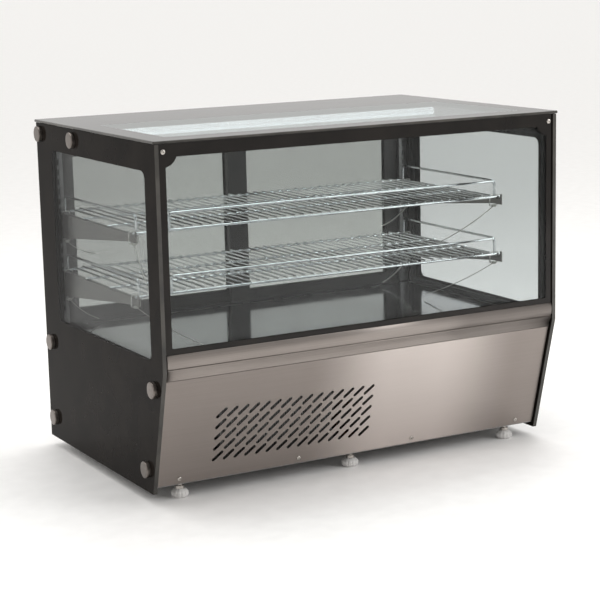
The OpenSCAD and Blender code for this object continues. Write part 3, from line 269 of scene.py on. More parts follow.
# %% Moulded plastics
def moulded(name, dark, light, rough, grain_mm=0.7, depth_mm=0.06):
    material, tree, place = new_material(name)
    grain = stretched_noise(tree, place, (grain_mm,) * 3, 2.0)
    cloud = stretched_noise(tree, place, (35, 35, 35), 2.0)
    shader = add(tree, "ShaderNodeBsdfPrincipled", {
        "Base Color": two_tone(tree, remap(tree, cloud, 0.0, 1.0), dark, light),
        "Roughness": remap(tree, grain, rough - 0.06, rough + 0.08),
        "Normal": bumped(tree, grain, depth_mm, 0.4)})
    show(tree, shader.outputs[0])
    return material


black_abs = moulded("black moulded ABS", "191817", "242221", 0.48)
dark_frame = moulded("dark anodised profile", "2b2827", "38342f", 0.38, 1.2, 0.02)
door_black = moulded("door profile in black PVC", "322f2d", "413d3b", 0.42, 1.0, 0.03)
rubber = moulded("black EPDM rubber", "141313", "1d1c1b", 0.7, 0.9)
grey_pa = moulded("grey moulded nylon", "cfcdcb", "e0dedc", 0.45)
button_grey = moulded("grey silicone keys", "8c8b89", "a09f9d", 0.55)
green_pc = moulded("green polycarbonate", "0c5a2a", "12713a", 0.15, 2.0, 0.01)
foam_skin = moulded("polystyrene skin of the foam floor", "cfccc4", "e0ddd6", 0.5, 1.5)

# %% Nylon ties
# Natural nylon 6.6 is milky: light passes through thin straps and blurs.
nylon, tree, place = new_material("natural nylon cable ties")
milk = stretched_noise(tree, place, (12, 12, 12), 2.0)
shader = add(tree, "ShaderNodeBsdfPrincipled", {
    "Base Color": two_tone(tree, remap(tree, milk, 0.0, 1.0), "cfccc2", "e6e4dd"),
    "Roughness": remap(tree, milk, 0.3, 0.42), "Transmission Weight": 0.35, "IOR": 1.53})
show(tree, shader.outputs[0])

# %% [markdown]
# ## Glass with a printed border
#
# The panes are float glass. A dark ceramic ink is screen printed round the clear windows and
# fired in, so the border is as glossy as the glass. A pane is thin and flat, so light passes
# almost straight through it: a transparent shader and a mirror, mixed by the angle of view,
# give the same picture as bent light, without its noise. The window is a rounded rectangle
# worked out from object coordinates: how far a point lies outside the inner rectangle, less the
# corner's radius, is negative inside the window.

# %% Glass shaders
FLOAT_IOR = 1.52
HEAD_ON = ((FLOAT_IOR - 1) / (FLOAT_IOR + 1)) ** 2


def clear_pane(tree, tint, mirrored="8c8c8c"):
    """The see-through part of a pane. A face reflects 4% head on and more when seen aslant.

    mirrored tones the reflections down, because a real room is darker than this pale studio.
    """
    aslant = add(tree, "ShaderNodeLayerWeight", {"Blend": 0.5}).outputs["Facing"]
    steep = add(tree, "ShaderNodeMath", {0: aslant, 1: 5.0}, operation="POWER")
    share = add(tree, "ShaderNodeMapRange", {
        "Value": steep.outputs[0], "To Min": HEAD_ON, "To Max": 1.0})
    through = add(tree, "ShaderNodeBsdfTransparent", {"Color": linear(tint)})
    mirror = add(tree, "ShaderNodeBsdfGlossy", {"Color": linear(mirrored), "Roughness": 0.0})
    return add(tree, "ShaderNodeMixShader", {
        0: share.outputs[0], 1: through.outputs[0], 2: mirror.outputs[0]}).outputs[0]


def window_mask(tree, place, centre, half, corner, keep):
    """1 inside a rounded window, 0 outside. keep zeroes the axis across the pane."""
    vector = place
    for operation, amount in (
            ("SUBTRACT", centre), ("ABSOLUTE", None), ("SUBTRACT", [h - corner for h in half]),
            ("MAXIMUM", (0, 0, 0)), ("MULTIPLY", keep)):
        step = add(tree, "ShaderNodeVectorMath", {0: vector}, operation=operation)
        if amount is not None:
            step.inputs[1].default_value = amount
        vector = step.outputs[0]
    reach = add(tree, "ShaderNodeVectorMath", {0: vector}, operation="LENGTH")
    return add(tree, "ShaderNodeMath", {0: reach.outputs["Value"], 1: corner},
               operation="LESS_THAN").outputs[0]


def outside_lobes(tree, place, centre, radius, keep):
    """0 inside the round lobes at x = +-centre, 1 elsewhere."""
    folded = add(tree, "ShaderNodeVectorMath", {0: place}, operation="ABSOLUTE")
    flat = add(tree, "ShaderNodeVectorMath", {0: folded.outputs[0], 1: keep},
               operation="MULTIPLY")
    reach = add(tree, "ShaderNodeVectorMath", {0: flat.outputs[0], 1: centre},
                operation="DISTANCE")
    return add(tree, "ShaderNodeMath", {0: reach.outputs["Value"], 1: radius},
               operation="GREATER_THAN").outputs[0]


def ink(tree, place, gloss):
    """Fired ceramic ink behind glass: near black, faintly clouded, glossy."""
    cloud = stretched_noise(tree, place, (60, 60, 60), 2.0)
    return add(tree, "ShaderNodeBsdfPrincipled", {
        "Base Color": two_tone(tree, remap(tree, cloud, 0.0, 1.0), "171412", "211d1a"),
        "Roughness": remap(tree, cloud, 0.04, 0.09), "IOR": FLOAT_IOR,
        "Specular IOR Level": gloss}).outputs[0]


def printed_glass(name, tint, mirrored, gloss, window, lobes=None):
    """A pane with a printed border. gloss is the ink's specular level."""
    material, tree, place = new_material(name)
    clear = window_mask(tree, place, *window)
    if lobes:
        clear = add(tree, "ShaderNodeMath", {
            0: clear, 1: outside_lobes(tree, place, *lobes)}, operation="MULTIPLY").outputs[0]
    mix = add(tree, "ShaderNodeMixShader", {
        0: clear, 1: ink(tree, place, gloss), 2: clear_pane(tree, tint, mirrored)})
    show(tree, mix.outputs[0])
    return material


# %% The printed panes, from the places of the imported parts
side_low, side_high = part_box("left_side_glass")
front_low, front_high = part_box("front_glass")
top_low, top_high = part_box("top_glass")
trim_low, trim_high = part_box("front_trim")


def rounded_window(low, high, corner_mm, flat_axis):
    """Centre, half sizes, corner radius and axis mask of a window from low to high."""
    centre = [(a + b) / 2 for a, b in zip(low, high)]
    half = [max((b - a) / 2, corner_mm * MM) for a, b in zip(low, high)]
    keep = [0.0 if axis == flat_axis else 1.0 for axis in range(3)]
    return centre, half, corner_mm * MM, keep


SIDE_INK = {"front": 48 * MM, "rear": 78 * MM, "foot": 256 * MM, "head": 51 * MM}
side_window = rounded_window(
    (0, side_low[1] + SIDE_INK["front"], side_low[2] + SIDE_INK["foot"]),
    (0, side_high[1] - SIDE_INK["rear"], side_high[2] - SIDE_INK["head"]),
    corner_mm=15, flat_axis=0)
FRONT_INK = {"side": 13 * MM, "foot": 10 * MM, "head": 24 * MM, "lobe": 28.5 * MM}
front_window = rounded_window(
    (front_low[0] + FRONT_INK["side"], 0, trim_high[2] + FRONT_INK["foot"]),
    (front_high[0] - FRONT_INK["side"], 0, front_high[2] - FRONT_INK["head"]),
    corner_mm=4, flat_axis=1)
screw_low, screw_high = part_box("glass_screws")
GLASS_SCREW_HEAD = 10 * MM
screw_place = (screw_high[0] - GLASS_SCREW_HEAD / 2, 0, (screw_low[2] + screw_high[2]) / 2)
front_lobes = (screw_place, FRONT_INK["lobe"], (1, 0, 1))
TOP_INK = {"side": 51 * MM, "front": 60 * MM, "rear": 221 * MM}
top_window = rounded_window(
    (top_low[0] + TOP_INK["side"], top_low[1] + TOP_INK["front"], 0),
    (top_high[0] - TOP_INK["side"], top_high[1] - TOP_INK["rear"], 0),
    corner_mm=6, flat_axis=2)

side_glass = printed_glass(
    "side glass with fired ink", "fafbfb", "8c8c8c", 0.02, side_window)
front_glass = printed_glass(
    "front glass with fired ink", "f4f5f5", "8c8c8c", 0.22, front_window, front_lobes)
top_glass = printed_glass(
    "top glass with fired ink", "f4f8f8", "e2e4e4", 0.04, top_window)

pane_glass, tree, place = new_material("plain float glass")
show(tree, clear_pane(tree, "fdfefe"))
door_pane, tree, place = new_material("door float glass")
show(tree, clear_pane(tree, "eeefee"))

# %% Polished glass edges
# Seen edge on, the glass shows the dark ink on its back.
glass_edge, tree, place = new_material("polished glass edge")
depth = stretched_noise(tree, place, (50, 50, 50), 2.0)
shader = add(tree, "ShaderNodeBsdfPrincipled", {
    "Base Color": two_tone(tree, remap(tree, depth, 0.0, 1.0), "2a2825", "45423d"),
    "Roughness": remap(tree, depth, 0.08, 0.16), "IOR": FLOAT_IOR})
show(tree, shader.outputs[0])

# %% Lamp and indicator
# The lamp is an opal diffuser with fine ribs over a row of diodes.
lamp_light, tree, place = new_material("lit opal diffuser")
beat = add(tree, "ShaderNodeTexWave", {"Vector": place, "Scale": 1 / (10 * MM) / 2},
           wave_type="BANDS", bands_direction="X")
shader = add(tree, "ShaderNodeBsdfPrincipled", {
    "Base Color": linear("e9eef0"), "Roughness": 0.4,
    "Emission Color": two_tone(tree, beat.outputs[1], "b9c9d2", "ffffff"),
    "Emission Strength": 2.0})
show(tree, shader.outputs[0])

display_glass, tree, place = new_material("smoked display window")
smoke = stretched_noise(tree, place, (8, 8, 8), 1.0)
shader = add(tree, "ShaderNodeBsdfPrincipled", {
    "Base Color": two_tone(tree, remap(tree, smoke, 0.0, 1.0), "1b0d0c", "24110f"),
    "Roughness": remap(tree, smoke, 0.05, 0.1)})
show(tree, shader.outputs[0])
print("materials:", len(bpy.data.materials))

# %% [markdown]
# ## Camera, light and floor
#
# A long lens stands off to the left, a little above the case. The room is a pale studio: the
# world is brighter above and behind the case than in front of it, so that dark glass stays dark
# and its upper edges catch the light. Two soft boxes give the steel its highlights.

# %% Camera
EYE = (-1.715, -3.120, 0.991)
BACK = Vector((-0.4742, -0.8597, 0.1900)).normalized()
ROLL = math.radians(-1.35)
FLOOR_R = 60.0
level = Vector((-BACK.y, BACK.x, 0)).normalized()
upward = BACK.cross(level)
right = math.cos(ROLL) * level + math.sin(ROLL) * upward
above = math.cos(ROLL) * upward - math.sin(ROLL) * level
camera = bpy.data.objects.new("camera", bpy.data.cameras.new("camera"))
camera.data.lens = 106.4
camera.data.sensor_width = 36.0
camera.matrix_world = Matrix((
    (right.x, above.x, BACK.x, EYE[0]),
    (right.y, above.y, BACK.y, EYE[1]),
    (right.z, above.z, BACK.z, EYE[2]),
    (0, 0, 0, 1)))
camera.data.clip_end = 200      # past the far edge of the floor
bpy.context.scene.collection.objects.link(camera)
bpy.context.scene.camera = camera
# Plain sRGB keeps blacks black, and rays have to cross up to sixteen faces of glass.
bpy.context.scene.view_settings.view_transform = "Standard"
bpy.context.scene.cycles.transparent_max_bounces = 24

# %% World and soft boxes
world = bpy.data.worlds.new("studio")
bpy.context.scene.world = world
world.use_nodes = True
tree = world.node_tree
tree.nodes.clear()
direction = add(tree, "ShaderNodeTexCoord").outputs["Generated"]
ray = add(tree, "ShaderNodeSeparateXYZ", {0: direction})
behind = add(tree, "ShaderNodeMapRange", {
    "Value": ray.outputs[1], "From Min": -0.5, "From Max": 0.7, "To Min": 0.35, "To Max": 1.0})
overhead = add(tree, "ShaderNodeMapRange", {
    "Value": ray.outputs[2], "From Min": 0.1, "From Max": 0.8, "To Min": 0.0, "To Max": 0.5})
glow = add(tree, "ShaderNodeMath", {0: behind.outputs[0], 1: overhead.outputs[0]},
           operation="ADD")
sky = add(tree, "ShaderNodeBackground", {
    "Color": linear("f6f5f3"), "Strength": glow.outputs[0]})
add(tree, "ShaderNodeOutputWorld", {"Surface": sky.outputs[0]})


def soft_box(name, place, target, size, power):
    """A rectangular area light that the camera doesn't see."""
    light = bpy.data.lights.new(name, "AREA")
    light.shape = "RECTANGLE"
    light.size, light.size_y = size
    light.energy = power
    lamp = bpy.data.objects.new(name, light)
    lamp.location = place
    lamp.rotation_euler = (Vector(target) - Vector(place)).to_track_quat("-Z", "Y").to_euler()
    lamp.visible_camera = False
    bpy.context.scene.collection.objects.link(lamp)


soft_box("overhead box", place=(0.2, 0.3, 2.6), target=(0, 0, 0.3), size=(2.4, 1.8), power=38)
soft_box("right front box", place=(2.2, -2.4, 1.5), target=(0.1, 0, 0.3), size=(1.4, 1.6),
         power=30)

# %% Floor
# A pale table top, with the faint mottle of a matt laminate.
floor_paint, tree, place = new_material("matt white laminate")
mottle = stretched_noise(tree, place, (40, 40, 40), 3.0)
shader = add(tree, "ShaderNodeBsdfPrincipled", {
    "Base Color": two_tone(tree, remap(tree, mottle, 0.0, 1.0), "f6f5f4", "fbfaf9"),
    "Roughness": remap(tree, mottle, 0.55, 0.7)})
show(tree, shader.outputs[0])
floor_mesh = bpy.data.meshes.new("floor")
bm = bmesh.new()
bmesh.ops.create_circle(bm, cap_ends=True, segments=96, radius=FLOOR_R)
bm.to_mesh(floor_mesh)
bm.free()
floor_mesh.materials.append(floor_paint)
floor = bpy.data.objects.new("floor", floor_mesh)
bpy.context.scene.collection.objects.link(floor)

# %% [markdown]
# ## Tools for the pieces
#
# A finished piece is a mesh with its place in its points, which rides on the body that its part
# belongs to. Most parts of the case are cut from sheet, profile or plate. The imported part
# already has their shape, with edges as sharp as a drawing. A real edge is broken by a file, a
# polishing belt or the mould, and that thin band is what catches the light. So a copy of the
# part is merged, its flat faces are joined up, and its sharp edges are bevelled.

# %% Piece tools
def finish_piece(name, bm, materials, body, replaced=(), smooth_deg=32):
    """Makes the object, shades it smooth up to smooth_deg, and lets it ride on body."""
    mesh = bpy.data.meshes.new(name)
    bm.to_mesh(mesh)
    bm.free()
    for material in materials:
        mesh.materials.append(material)
    mesh.shade_smooth()
    mesh.set_sharp_from_angle(angle=math.radians(smooth_deg))
    piece = bpy.data.objects.new(name, mesh)
    bpy.context.scene.collection.objects.link(piece)
    weigh = piece.modifiers.new("even shading", "WEIGHTED_NORMAL")
    weigh.keep_sharp = True
    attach(piece, body)
    if replaced:
        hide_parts(*replaced)
    return piece


def merged_copy(node):
    """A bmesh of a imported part, with doubles merged and flat faces joined."""
    bm = bmesh.new()
    bm.from_mesh(nodes[node].data)
    bmesh.ops.remove_doubles(bm, verts=bm.verts, dist=0.002 * MM)
    bmesh.ops.dissolve_limit(bm, angle_limit=math.radians(0.4), verts=bm.verts,
                             edges=bm.edges, use_dissolve_boundaries=False)
    return bm


def sharp_edges(bm, angle_deg=35):
    """Edges between two faces that meet at more than angle_deg."""
    return [e for e in bm.edges
            if len(e.link_faces) == 2 and e.calc_face_angle(0.0) > math.radians(angle_deg)]


def broken_edges(node, width_mm, material, segments=2, angle_deg=35):
    """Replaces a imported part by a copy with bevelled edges."""
    bm = merged_copy(node)
    edges = sharp_edges(bm, angle_deg)
    bmesh.ops.bevel(bm, geom=edges, offset=width_mm * MM, offset_type="OFFSET",
                    segments=segments, profile=0.5, affect="EDGES", clamp_overlap=True,
                    material=-1)
    finish_piece(node + ".finished", bm, [material], body_of[node], (node,))
    return len(edges)


# %% Plates, profiles and housings
broken = {
    "top_frame": (0.5, dark_frame), "upper_track": (0.6, dark_frame),
    "lower_track": (0.6, dark_frame), "left_rear_column": (1.0, dark_frame),
    "right_rear_column": (1.0, dark_frame), "left_door_frame": (1.2, door_black),
    "right_door_frame": (1.2, door_black), "left_upright": (0.3, zinc),
    "right_upright": (0.3, zinc), "upper_left_bracket": (0.3, bracket_zinc),
    "upper_right_bracket": (0.3, bracket_zinc), "lower_left_bracket": (0.3, bracket_zinc),
    "lower_right_bracket": (0.3, bracket_zinc), "base_pan": (0.3, zinc),
    "insulated_floor": (1.5, foam_skin), "floor_deck": (0.25, deck_steel),
    "service_panel": (0.25, stainless), "front_panel": (0.25, panel_steel_with_painted_reflection),
    "lamp_holders": (0.8, black_abs), "switch_bezels": (0.4, black_abs),
    "power_rocker": (0.5, green_pc), "light_rocker": (0.5, black_abs),
    "set_button": (0.3, button_grey), "up_button": (0.3, button_grey),
    "down_button": (0.3, button_grey), "cable_gland": (0.4, black_abs),
}
counts = [broken_edges(node, width, material) for node, (width, material) in broken.items()]
print("bevelled pieces:", len(counts), "edges:", sum(counts))

# %% [markdown]
# ## Panes
#
# Each pane keeps two materials: its two large faces carry the clear glass and the ink, and its
# narrow faces are polished edges. After the bevel, a face belongs to the edge if its normal
# points along the pane and not across it.

# %% Panes
def pane(node, axis, face_material, width_mm=0.5):
    bm = merged_copy(node)
    bmesh.ops.bevel(bm, geom=sharp_edges(bm), offset=width_mm * MM, offset_type="OFFSET",
                    segments=1, profile=0.5, affect="EDGES", clamp_overlap=True, material=-1)
    for face in bm.faces:
        face.material_index = 0 if abs(face.normal[axis]) > 0.9 else 1
    finish_piece(node + ".finished", bm, [face_material, glass_edge], body_of[node], (node,))


pane("top_glass", 2, top_glass, 0.8)
pane("front_glass", 1, front_glass, 0.6)
pane("left_side_glass", 0, side_glass, 0.8)
pane("right_side_glass", 0, side_glass, 0.8)
pane("front_inner_pane", 1, pane_glass, 0.4)
pane("left_inner_pane", 0, pane_glass, 0.4)
pane("right_inner_pane", 0, pane_glass, 0.4)
pane("left_door_glass", 1, door_pane, 0.3)
pane("right_door_glass", 1, door_pane, 0.3)

# %% [markdown]
# ## Wire shelves
#
# The real shelf is welded from chrome plated wire: four rods from side to side, thinner wires
# on top of them from the front rod to the rear one, and guard rails bent from one rod each. A
# wire is a ring of points that is extruded along each straight run and spun through each bend,
# which is what a bending machine does.

# %% Bent rod
def bent_rod(bm, start, runs, diameter, bend_r, sides=12, bend_steps=6):
    """A round rod from start through runs of (direction, length), with bends between them."""
    turn = Vector(runs[0][0]).to_track_quat("Z", "Y").to_matrix().to_4x4()
    made = bmesh.ops.create_circle(bm, cap_ends=True, segments=sides, radius=diameter / 2,
                                   matrix=Matrix.Translation(start) @ turn)
    bmesh.ops.reverse_faces(bm, faces=list({f for v in made["verts"] for f in v.link_faces}))
    ring = list({e for v in made["verts"] for e in v.link_edges})
    point = Vector(start)
    for index, (direction, length) in enumerate(runs):
        direction = Vector(direction)
        grown = bmesh.ops.extrude_edge_only(bm, edges=ring)["geom"]
        ring = [g for g in grown if isinstance(g, bmesh.types.BMEdge)]
        bmesh.ops.translate(bm, vec=direction * length,
                            verts=list({v for e in ring for v in e.verts}))
        point += direction * length
        if index + 1 < len(runs):
            following = Vector(runs[index + 1][0])
            spun = bmesh.ops.spin(
                bm, geom=ring, cent=point + following * bend_r,
                axis=direction.cross(following), dvec=(0, 0, 0), angle=math.radians(90),
                steps=bend_steps, use_merge=False, use_duplicate=False)["geom_last"]
            ring = [g for g in spun if isinstance(g, bmesh.types.BMEdge)]
            point += (direction + following) * bend_r
    bmesh.ops.edgeloop_fill(bm, edges=ring)


# %% The two shelves
ROD, WIRE, PITCH = 5.0 * MM, 3.5 * MM, 20 * MM
WELD = 0.2 * MM         # how deep a wire sinks into a rod where they are welded
OVERHANG = 1 * MM       # how far a wire passes the middle of the front and rear rods
OUTER_WIRES = 30 * MM   # clear width kept at the two guards together
GUARD_R = 8 * MM
GUARD_SET_IN = {"side": 9 * MM, "front left": 74 * MM, "front right": 14 * MM}
ALONG_X, ALONG_Y, UP, DOWN = (1, 0, 0), (0, 1, 0), (0, 0, 1), (0, 0, -1)


def wire_shelf(node):
    low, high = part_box(node)
    half = high[0]
    rod_z = low[2] + ROD / 2
    wire_z = rod_z + (ROD + WIRE) / 2 - WELD
    front = low[1] + ROD / 2 + OVERHANG
    rear = high[1] - ROD / 2
    bm = bmesh.new()
    for share in (0, 1 / 3, 2 / 3, 1):
        y = front + (rear - front) * share
        bent_rod(bm, (-half, y, rod_z), [(ALONG_X, 2 * half)], ROD, 0, 16)
    reach = half - GUARD_SET_IN["side"]
    count = int((2 * reach - OUTER_WIRES) / PITCH + 0.001) + 1
    for i in range(count):
        x = (i - (count - 1) / 2) * PITCH
        bent_rod(bm, (x, front - OVERHANG, wire_z),
                 [(ALONG_Y, rear - front + 2 * OVERHANG)], WIRE, 0, 12)
    rail_foot = wire_z - WIRE / 2 - 0.3 * MM
    rail_leg = high[2] - ROD / 2 - rail_foot - GUARD_R
    x0, x1 = -half + GUARD_SET_IN["front left"], half - GUARD_SET_IN["front right"]
    bent_rod(bm, (x0, front - OVERHANG, rail_foot), [
        (UP, rail_leg), (ALONG_X, x1 - x0 - 2 * GUARD_R), (DOWN, rail_leg)], ROD, GUARD_R, 16, 8)
    y0, y1 = front + ROD, rear - ROD
    for x in (-reach, reach):
        bent_rod(bm, (x, y0, rail_foot), [
            (UP, rail_leg), (ALONG_Y, y1 - y0 - 2 * GUARD_R), (DOWN, rail_leg)],
            ROD, GUARD_R, 16, 8)
    bmesh.ops.recalc_face_normals(bm, faces=bm.faces)
    faces = len(bm.faces)
    finish_piece(node + ".welded", bm, [chrome], body_of[node], (node,), 40)
    return faces


print("shelf faces:", [wire_shelf(node) for node in ("upper_shelf", "lower_shelf")])

# %% [markdown]
# ## Turned and moulded round parts
#
# Feet, disc caps and screws are round, so each is a half outline spun about its axis. The
# outline is a short list of radius and height. A foot's pad then gets its finger scallops, by
# pulling its rim in along a cosine.

# %% Lathe
def lathe(bm, outline_mm, steps, place=Matrix.Identity(4)):
    """Spins (radius, height) points in mm about Z, then puts the shape at place."""
    points = [bm.verts.new((r * MM, 0, z * MM)) for r, z in outline_mm]
    edges = [bm.edges.new(pair) for pair in zip(points, points[1:])]
    bmesh.ops.spin(bm, geom=points + edges, cent=(0, 0, 0), axis=(0, 0, 1), dvec=(0, 0, 0),
                   angle=math.tau, steps=steps, use_merge=True, use_duplicate=False)
    verts = list({v for f in bm.faces if not f.tag for v in f.verts})
    bmesh.ops.remove_doubles(bm, verts=verts, dist=0.001 * MM)
    faces = [f for f in bm.faces if not f.tag]
    verts = list({v for f in faces for v in f.verts})
    bmesh.ops.transform(bm, matrix=place, verts=verts)
    for face in faces:
        face.tag = True
    return verts


# %% Levelling feet
FOOT_RIM_MM = [(0, 0), (11.6, 0), (12.6, 0.4), (15.2, 2.2), (16.2, 3.6), (16.5, 5.5),
               (16.5, 9.5), (16.0, 11.4), (13.4, 14.2), (10.4, 16.4), (9.6, 17.0)]
FOOT_COLLAR_MM = [(8.2, 17.0), (8.6, 17.4), (8.6, 22.6), (8.2, 23.0), (5.0, 23.0), (5.0, 29.0),
                  (5.0, 47.0), (4.0, 48.8), (0, 48.8)]
SCALLOPS, SCALLOP_DEPTH = 12, 1.5 * MM
HUB_R, RIM_R = 11 * MM, 16.5 * MM       # the scallops deepen from the hub to the rim
COLLAR_Z = 17.1 * MM                    # metal above, nylon below
for name in [n for n in nodes if n.endswith("_foot")]:
    low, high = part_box(name)
    centre = ((low[0] + high[0]) / 2, (low[1] + high[1]) / 2, 0)
    bm = bmesh.new()
    pad = lathe(bm, FOOT_RIM_MM + FOOT_COLLAR_MM, 96)
    for v in pad:
        radius = math.hypot(v.co.x, v.co.y)
        if radius > HUB_R and v.co.z > 0.2 * MM:
            wave = max(0.0, -math.cos(SCALLOPS * math.atan2(v.co.y, v.co.x))) ** 1.5
            share = 1 - SCALLOP_DEPTH * wave * (radius - HUB_R) / (RIM_R - HUB_R) / radius
            v.co.x *= share
            v.co.y *= share
    bmesh.ops.translate(bm, vec=centre, verts=bm.verts)
    bmesh.ops.recalc_face_normals(bm, faces=bm.faces)
    for face in bm.faces:
        face.material_index = 1 if face.calc_center_median().z > COLLAR_Z else 0
    finish_piece(name + ".moulded", bm, [grey_pa, screw_steel], body_of[name], (name,), 40)
print("feet: 6, rim", 2 * FOOT_RIM_MM[5][0], "mm")

# %% Disc caps
CAP_MM = [(0, -23.5), (3.2, -23.5), (4.0, -22.7), (4.0, 0), (15.6, 0), (16.0, 0.4), (16.0, 6.2),
          (15.4, 7.4), (14.2, 7.9), (12.0, 8.0), (0, 8.0)]
caps_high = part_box("disc_caps")[1]
HEAD_ROW, KNEE_ROW, FOOT_ROW = 652, 224, 64     # heights of the caps in mm
CAP_PLACES = [(side_high[1] - 19 * MM, HEAD_ROW), (side_high[1] - 192 * MM, HEAD_ROW),
              (side_high[1] - 30 * MM, KNEE_ROW), (side_low[1] + 42 * MM, KNEE_ROW),
              (side_high[1] - 30 * MM, FOOT_ROW), (side_low[1] + 86 * MM, FOOT_ROW)]
bm = bmesh.new()
for side in (-1, 1):
    seat = side * abs(side_low[0])
    turn = Matrix.Rotation(side * math.pi / 2, 4, "Y")
    for y, z in CAP_PLACES:
        lathe(bm, CAP_MM, 48, Matrix.Translation((seat, y, z * MM)) @ turn)
bmesh.ops.recalc_face_normals(bm, faces=bm.faces)
finish_piece("disc_caps.turned", bm, [turned_caps], "root", ("disc_caps",), 30)
print("caps: 12, reach", round(caps_high[0] / MM, 1), "mm")

# %% Screws
def button_screw(bm, head_mm, height_mm, shank_mm, length_mm, place):
    """A round head with a round socket and a plain shank, head upwards along Z."""
    r, h, s = head_mm / 2, height_mm, shank_mm / 2
    lathe(bm, [(0, -length_mm), (s - 0.4, -length_mm), (s, 0.5 - length_mm), (s, 0), (r - 0.2, 0),
               (r, 0.25), (r - 0.1, h * 0.45), (r - 0.6, h * 0.75), (r * 0.62, h),
               (r * 0.36, h), (r * 0.34, h - 0.2), (r * 0.34, h * 0.35), (0, h * 0.3)],
          36, place)


outward = Matrix.Rotation(math.pi / 2, 4, "X")
bm = bmesh.new()
for side in (-1, 1):
    button_screw(bm, GLASS_SCREW_HEAD / MM, 2.5, 5, 22, Matrix.Translation(
        (side * screw_place[0], front_low[1], screw_place[2])) @ outward)
bmesh.ops.recalc_face_normals(bm, faces=bm.faces)
finish_piece("glass_screws.turned", bm, [screw_steel], "root", ("glass_screws",))

panel_low, panel_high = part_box("panel_screws")
SLOPE = math.atan2(64, 239)     # the panel leans back 64 mm over 239 mm of height
PANEL_SCREW_X_MM = (-383, -129, 129, 383)
bm = bmesh.new()
for x in PANEL_SCREW_X_MM:
    seat = (x * MM, panel_low[1] + 2.9 * MM, (panel_low[2] + panel_high[2]) / 2 + 0.4 * MM)
    button_screw(bm, 9, 2.2, 4, 7, Matrix.Translation(seat)
                 @ Matrix.Rotation(math.pi / 2 + SLOPE, 4, "X"))
bmesh.ops.recalc_face_normals(bm, faces=bm.faces)
finish_piece("panel_screws.turned", bm, [screw_steel], "root", ("panel_screws",))

# %% [markdown]
# ## Front trim
#
# The trim under the front glass is one strip of sheet, folded along its length: a nose that
# bulges a little, a crisp crease, and a lip that leans back to the panel. Its outline is drawn
# once across the case and extruded along X, and Solidify gives it its thickness.

# %% Front trim
NOSE_H, LIP_H, BULGE = 27 * MM, 22 * MM, 3.0 * MM
LIP_BULGE, LIP_OUT, LIP_RUN = 1.2 * MM, 2.4 * MM, 8.2 * MM
nose_top = trim_high[2]
face_y = front_low[1]
crease_z = nose_top - NOSE_H
STEPS = 20
nose = [(face_y - 0.6 * MM - BULGE * math.sin(math.pi * (i + 2.5) / (STEPS + 5)),
         nose_top - NOSE_H * i / STEPS) for i in range(STEPS + 1)]
lip = [(face_y - LIP_OUT + LIP_RUN * i / STEPS + LIP_BULGE * math.sin(math.pi * i / STEPS),
        crease_z - 0.7 * MM - LIP_H * i / STEPS) for i in range(STEPS + 1)]
ledge = [(face_y + 14 * MM, crease_z - 0.1 * MM), (face_y - 1.4 * MM, crease_z - 0.1 * MM)]
flange = [(lip[-1][0] + run * MM, lip[-1][1] - 0.4 * MM) for run in (1, 11)]
bm = bmesh.new()
for outline in (nose, ledge + lip + flange):
    points = [bm.verts.new((trim_low[0], y, z)) for y, z in outline]
    edges = [bm.edges.new(pair) for pair in zip(points, points[1:])]
    grown = bmesh.ops.extrude_edge_only(bm, edges=edges)["geom"]
    bmesh.ops.translate(bm, vec=(trim_high[0] - trim_low[0], 0, 0),
                        verts=[g for g in grown if isinstance(g, bmesh.types.BMVert)])
bmesh.ops.recalc_face_normals(bm, faces=bm.faces)
if sum(f.normal.y for f in bm.faces) > 0:
    bmesh.ops.reverse_faces(bm, faces=bm.faces)
trim = finish_piece("front_trim.folded", bm, [stainless], "root", ("front_trim",), 50)
sheet = trim.modifiers.new("sheet", "SOLIDIFY")
sheet.thickness = 1.2 * MM
sheet.offset = -1
print("trim from", round(nose_top / MM, 1), "down to", round(lip[-1][1] / MM, 1), "mm")

# %% [markdown]
# ## Lamp
#
# The lamp is a strip: a ribbed opal diffuser over diodes, held by two end blocks. A tube is
# cut into rings, and every other ring is drawn in a little.

# %% Lamp
lamp_low, lamp_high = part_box("lamp_tube")
lamp_r = (lamp_high[2] - lamp_low[2]) / 2
lamp_axis = Vector((0, (lamp_low[1] + lamp_high[1]) / 2, (lamp_low[2] + lamp_high[2]) / 2))
RIB_MM, WAIST = 5, 0.86         # spacing of the ribs, and the radius between them
ribs = round((lamp_high[0] - lamp_low[0]) / MM / RIB_MM) * 2
turn = Matrix.Rotation(math.pi / 2, 4, "Y")
bm = bmesh.new()
bmesh.ops.create_cone(bm, cap_ends=True, segments=24, radius1=lamp_r, radius2=lamp_r,
                      depth=lamp_high[0] - lamp_low[0],
                      matrix=Matrix.Translation(lamp_axis) @ turn)
long_edges = [e for e in bm.edges if abs(e.verts[0].co.x - e.verts[1].co.x) > 0.1]
bmesh.ops.subdivide_edges(bm, edges=long_edges, cuts=ribs - 1, use_grid_fill=True)
step = (lamp_high[0] - lamp_low[0]) / ribs
for v in bm.verts:
    if round((v.co.x - lamp_low[0]) / step) % 2:
        v.co.y = lamp_axis.y + (v.co.y - lamp_axis.y) * WAIST
        v.co.z = lamp_axis.z + (v.co.z - lamp_axis.z) * WAIST
finish_piece("lamp_tube.ribbed", bm, [lamp_light], "root", ("lamp_tube",), 20)
print("lamp ribs:", ribs // 2)

# %% [markdown]
# ## Cable ties
#
# The shelves are held to their brackets by nylon ties, and nobody trimmed the tails. A tail is
# a flat strap: a long grid, thickened, whose points are then laid along a sagging curve.

# %% Cable ties
STRAP_W, STRAP_T = 4.8 * MM, 1.2 * MM


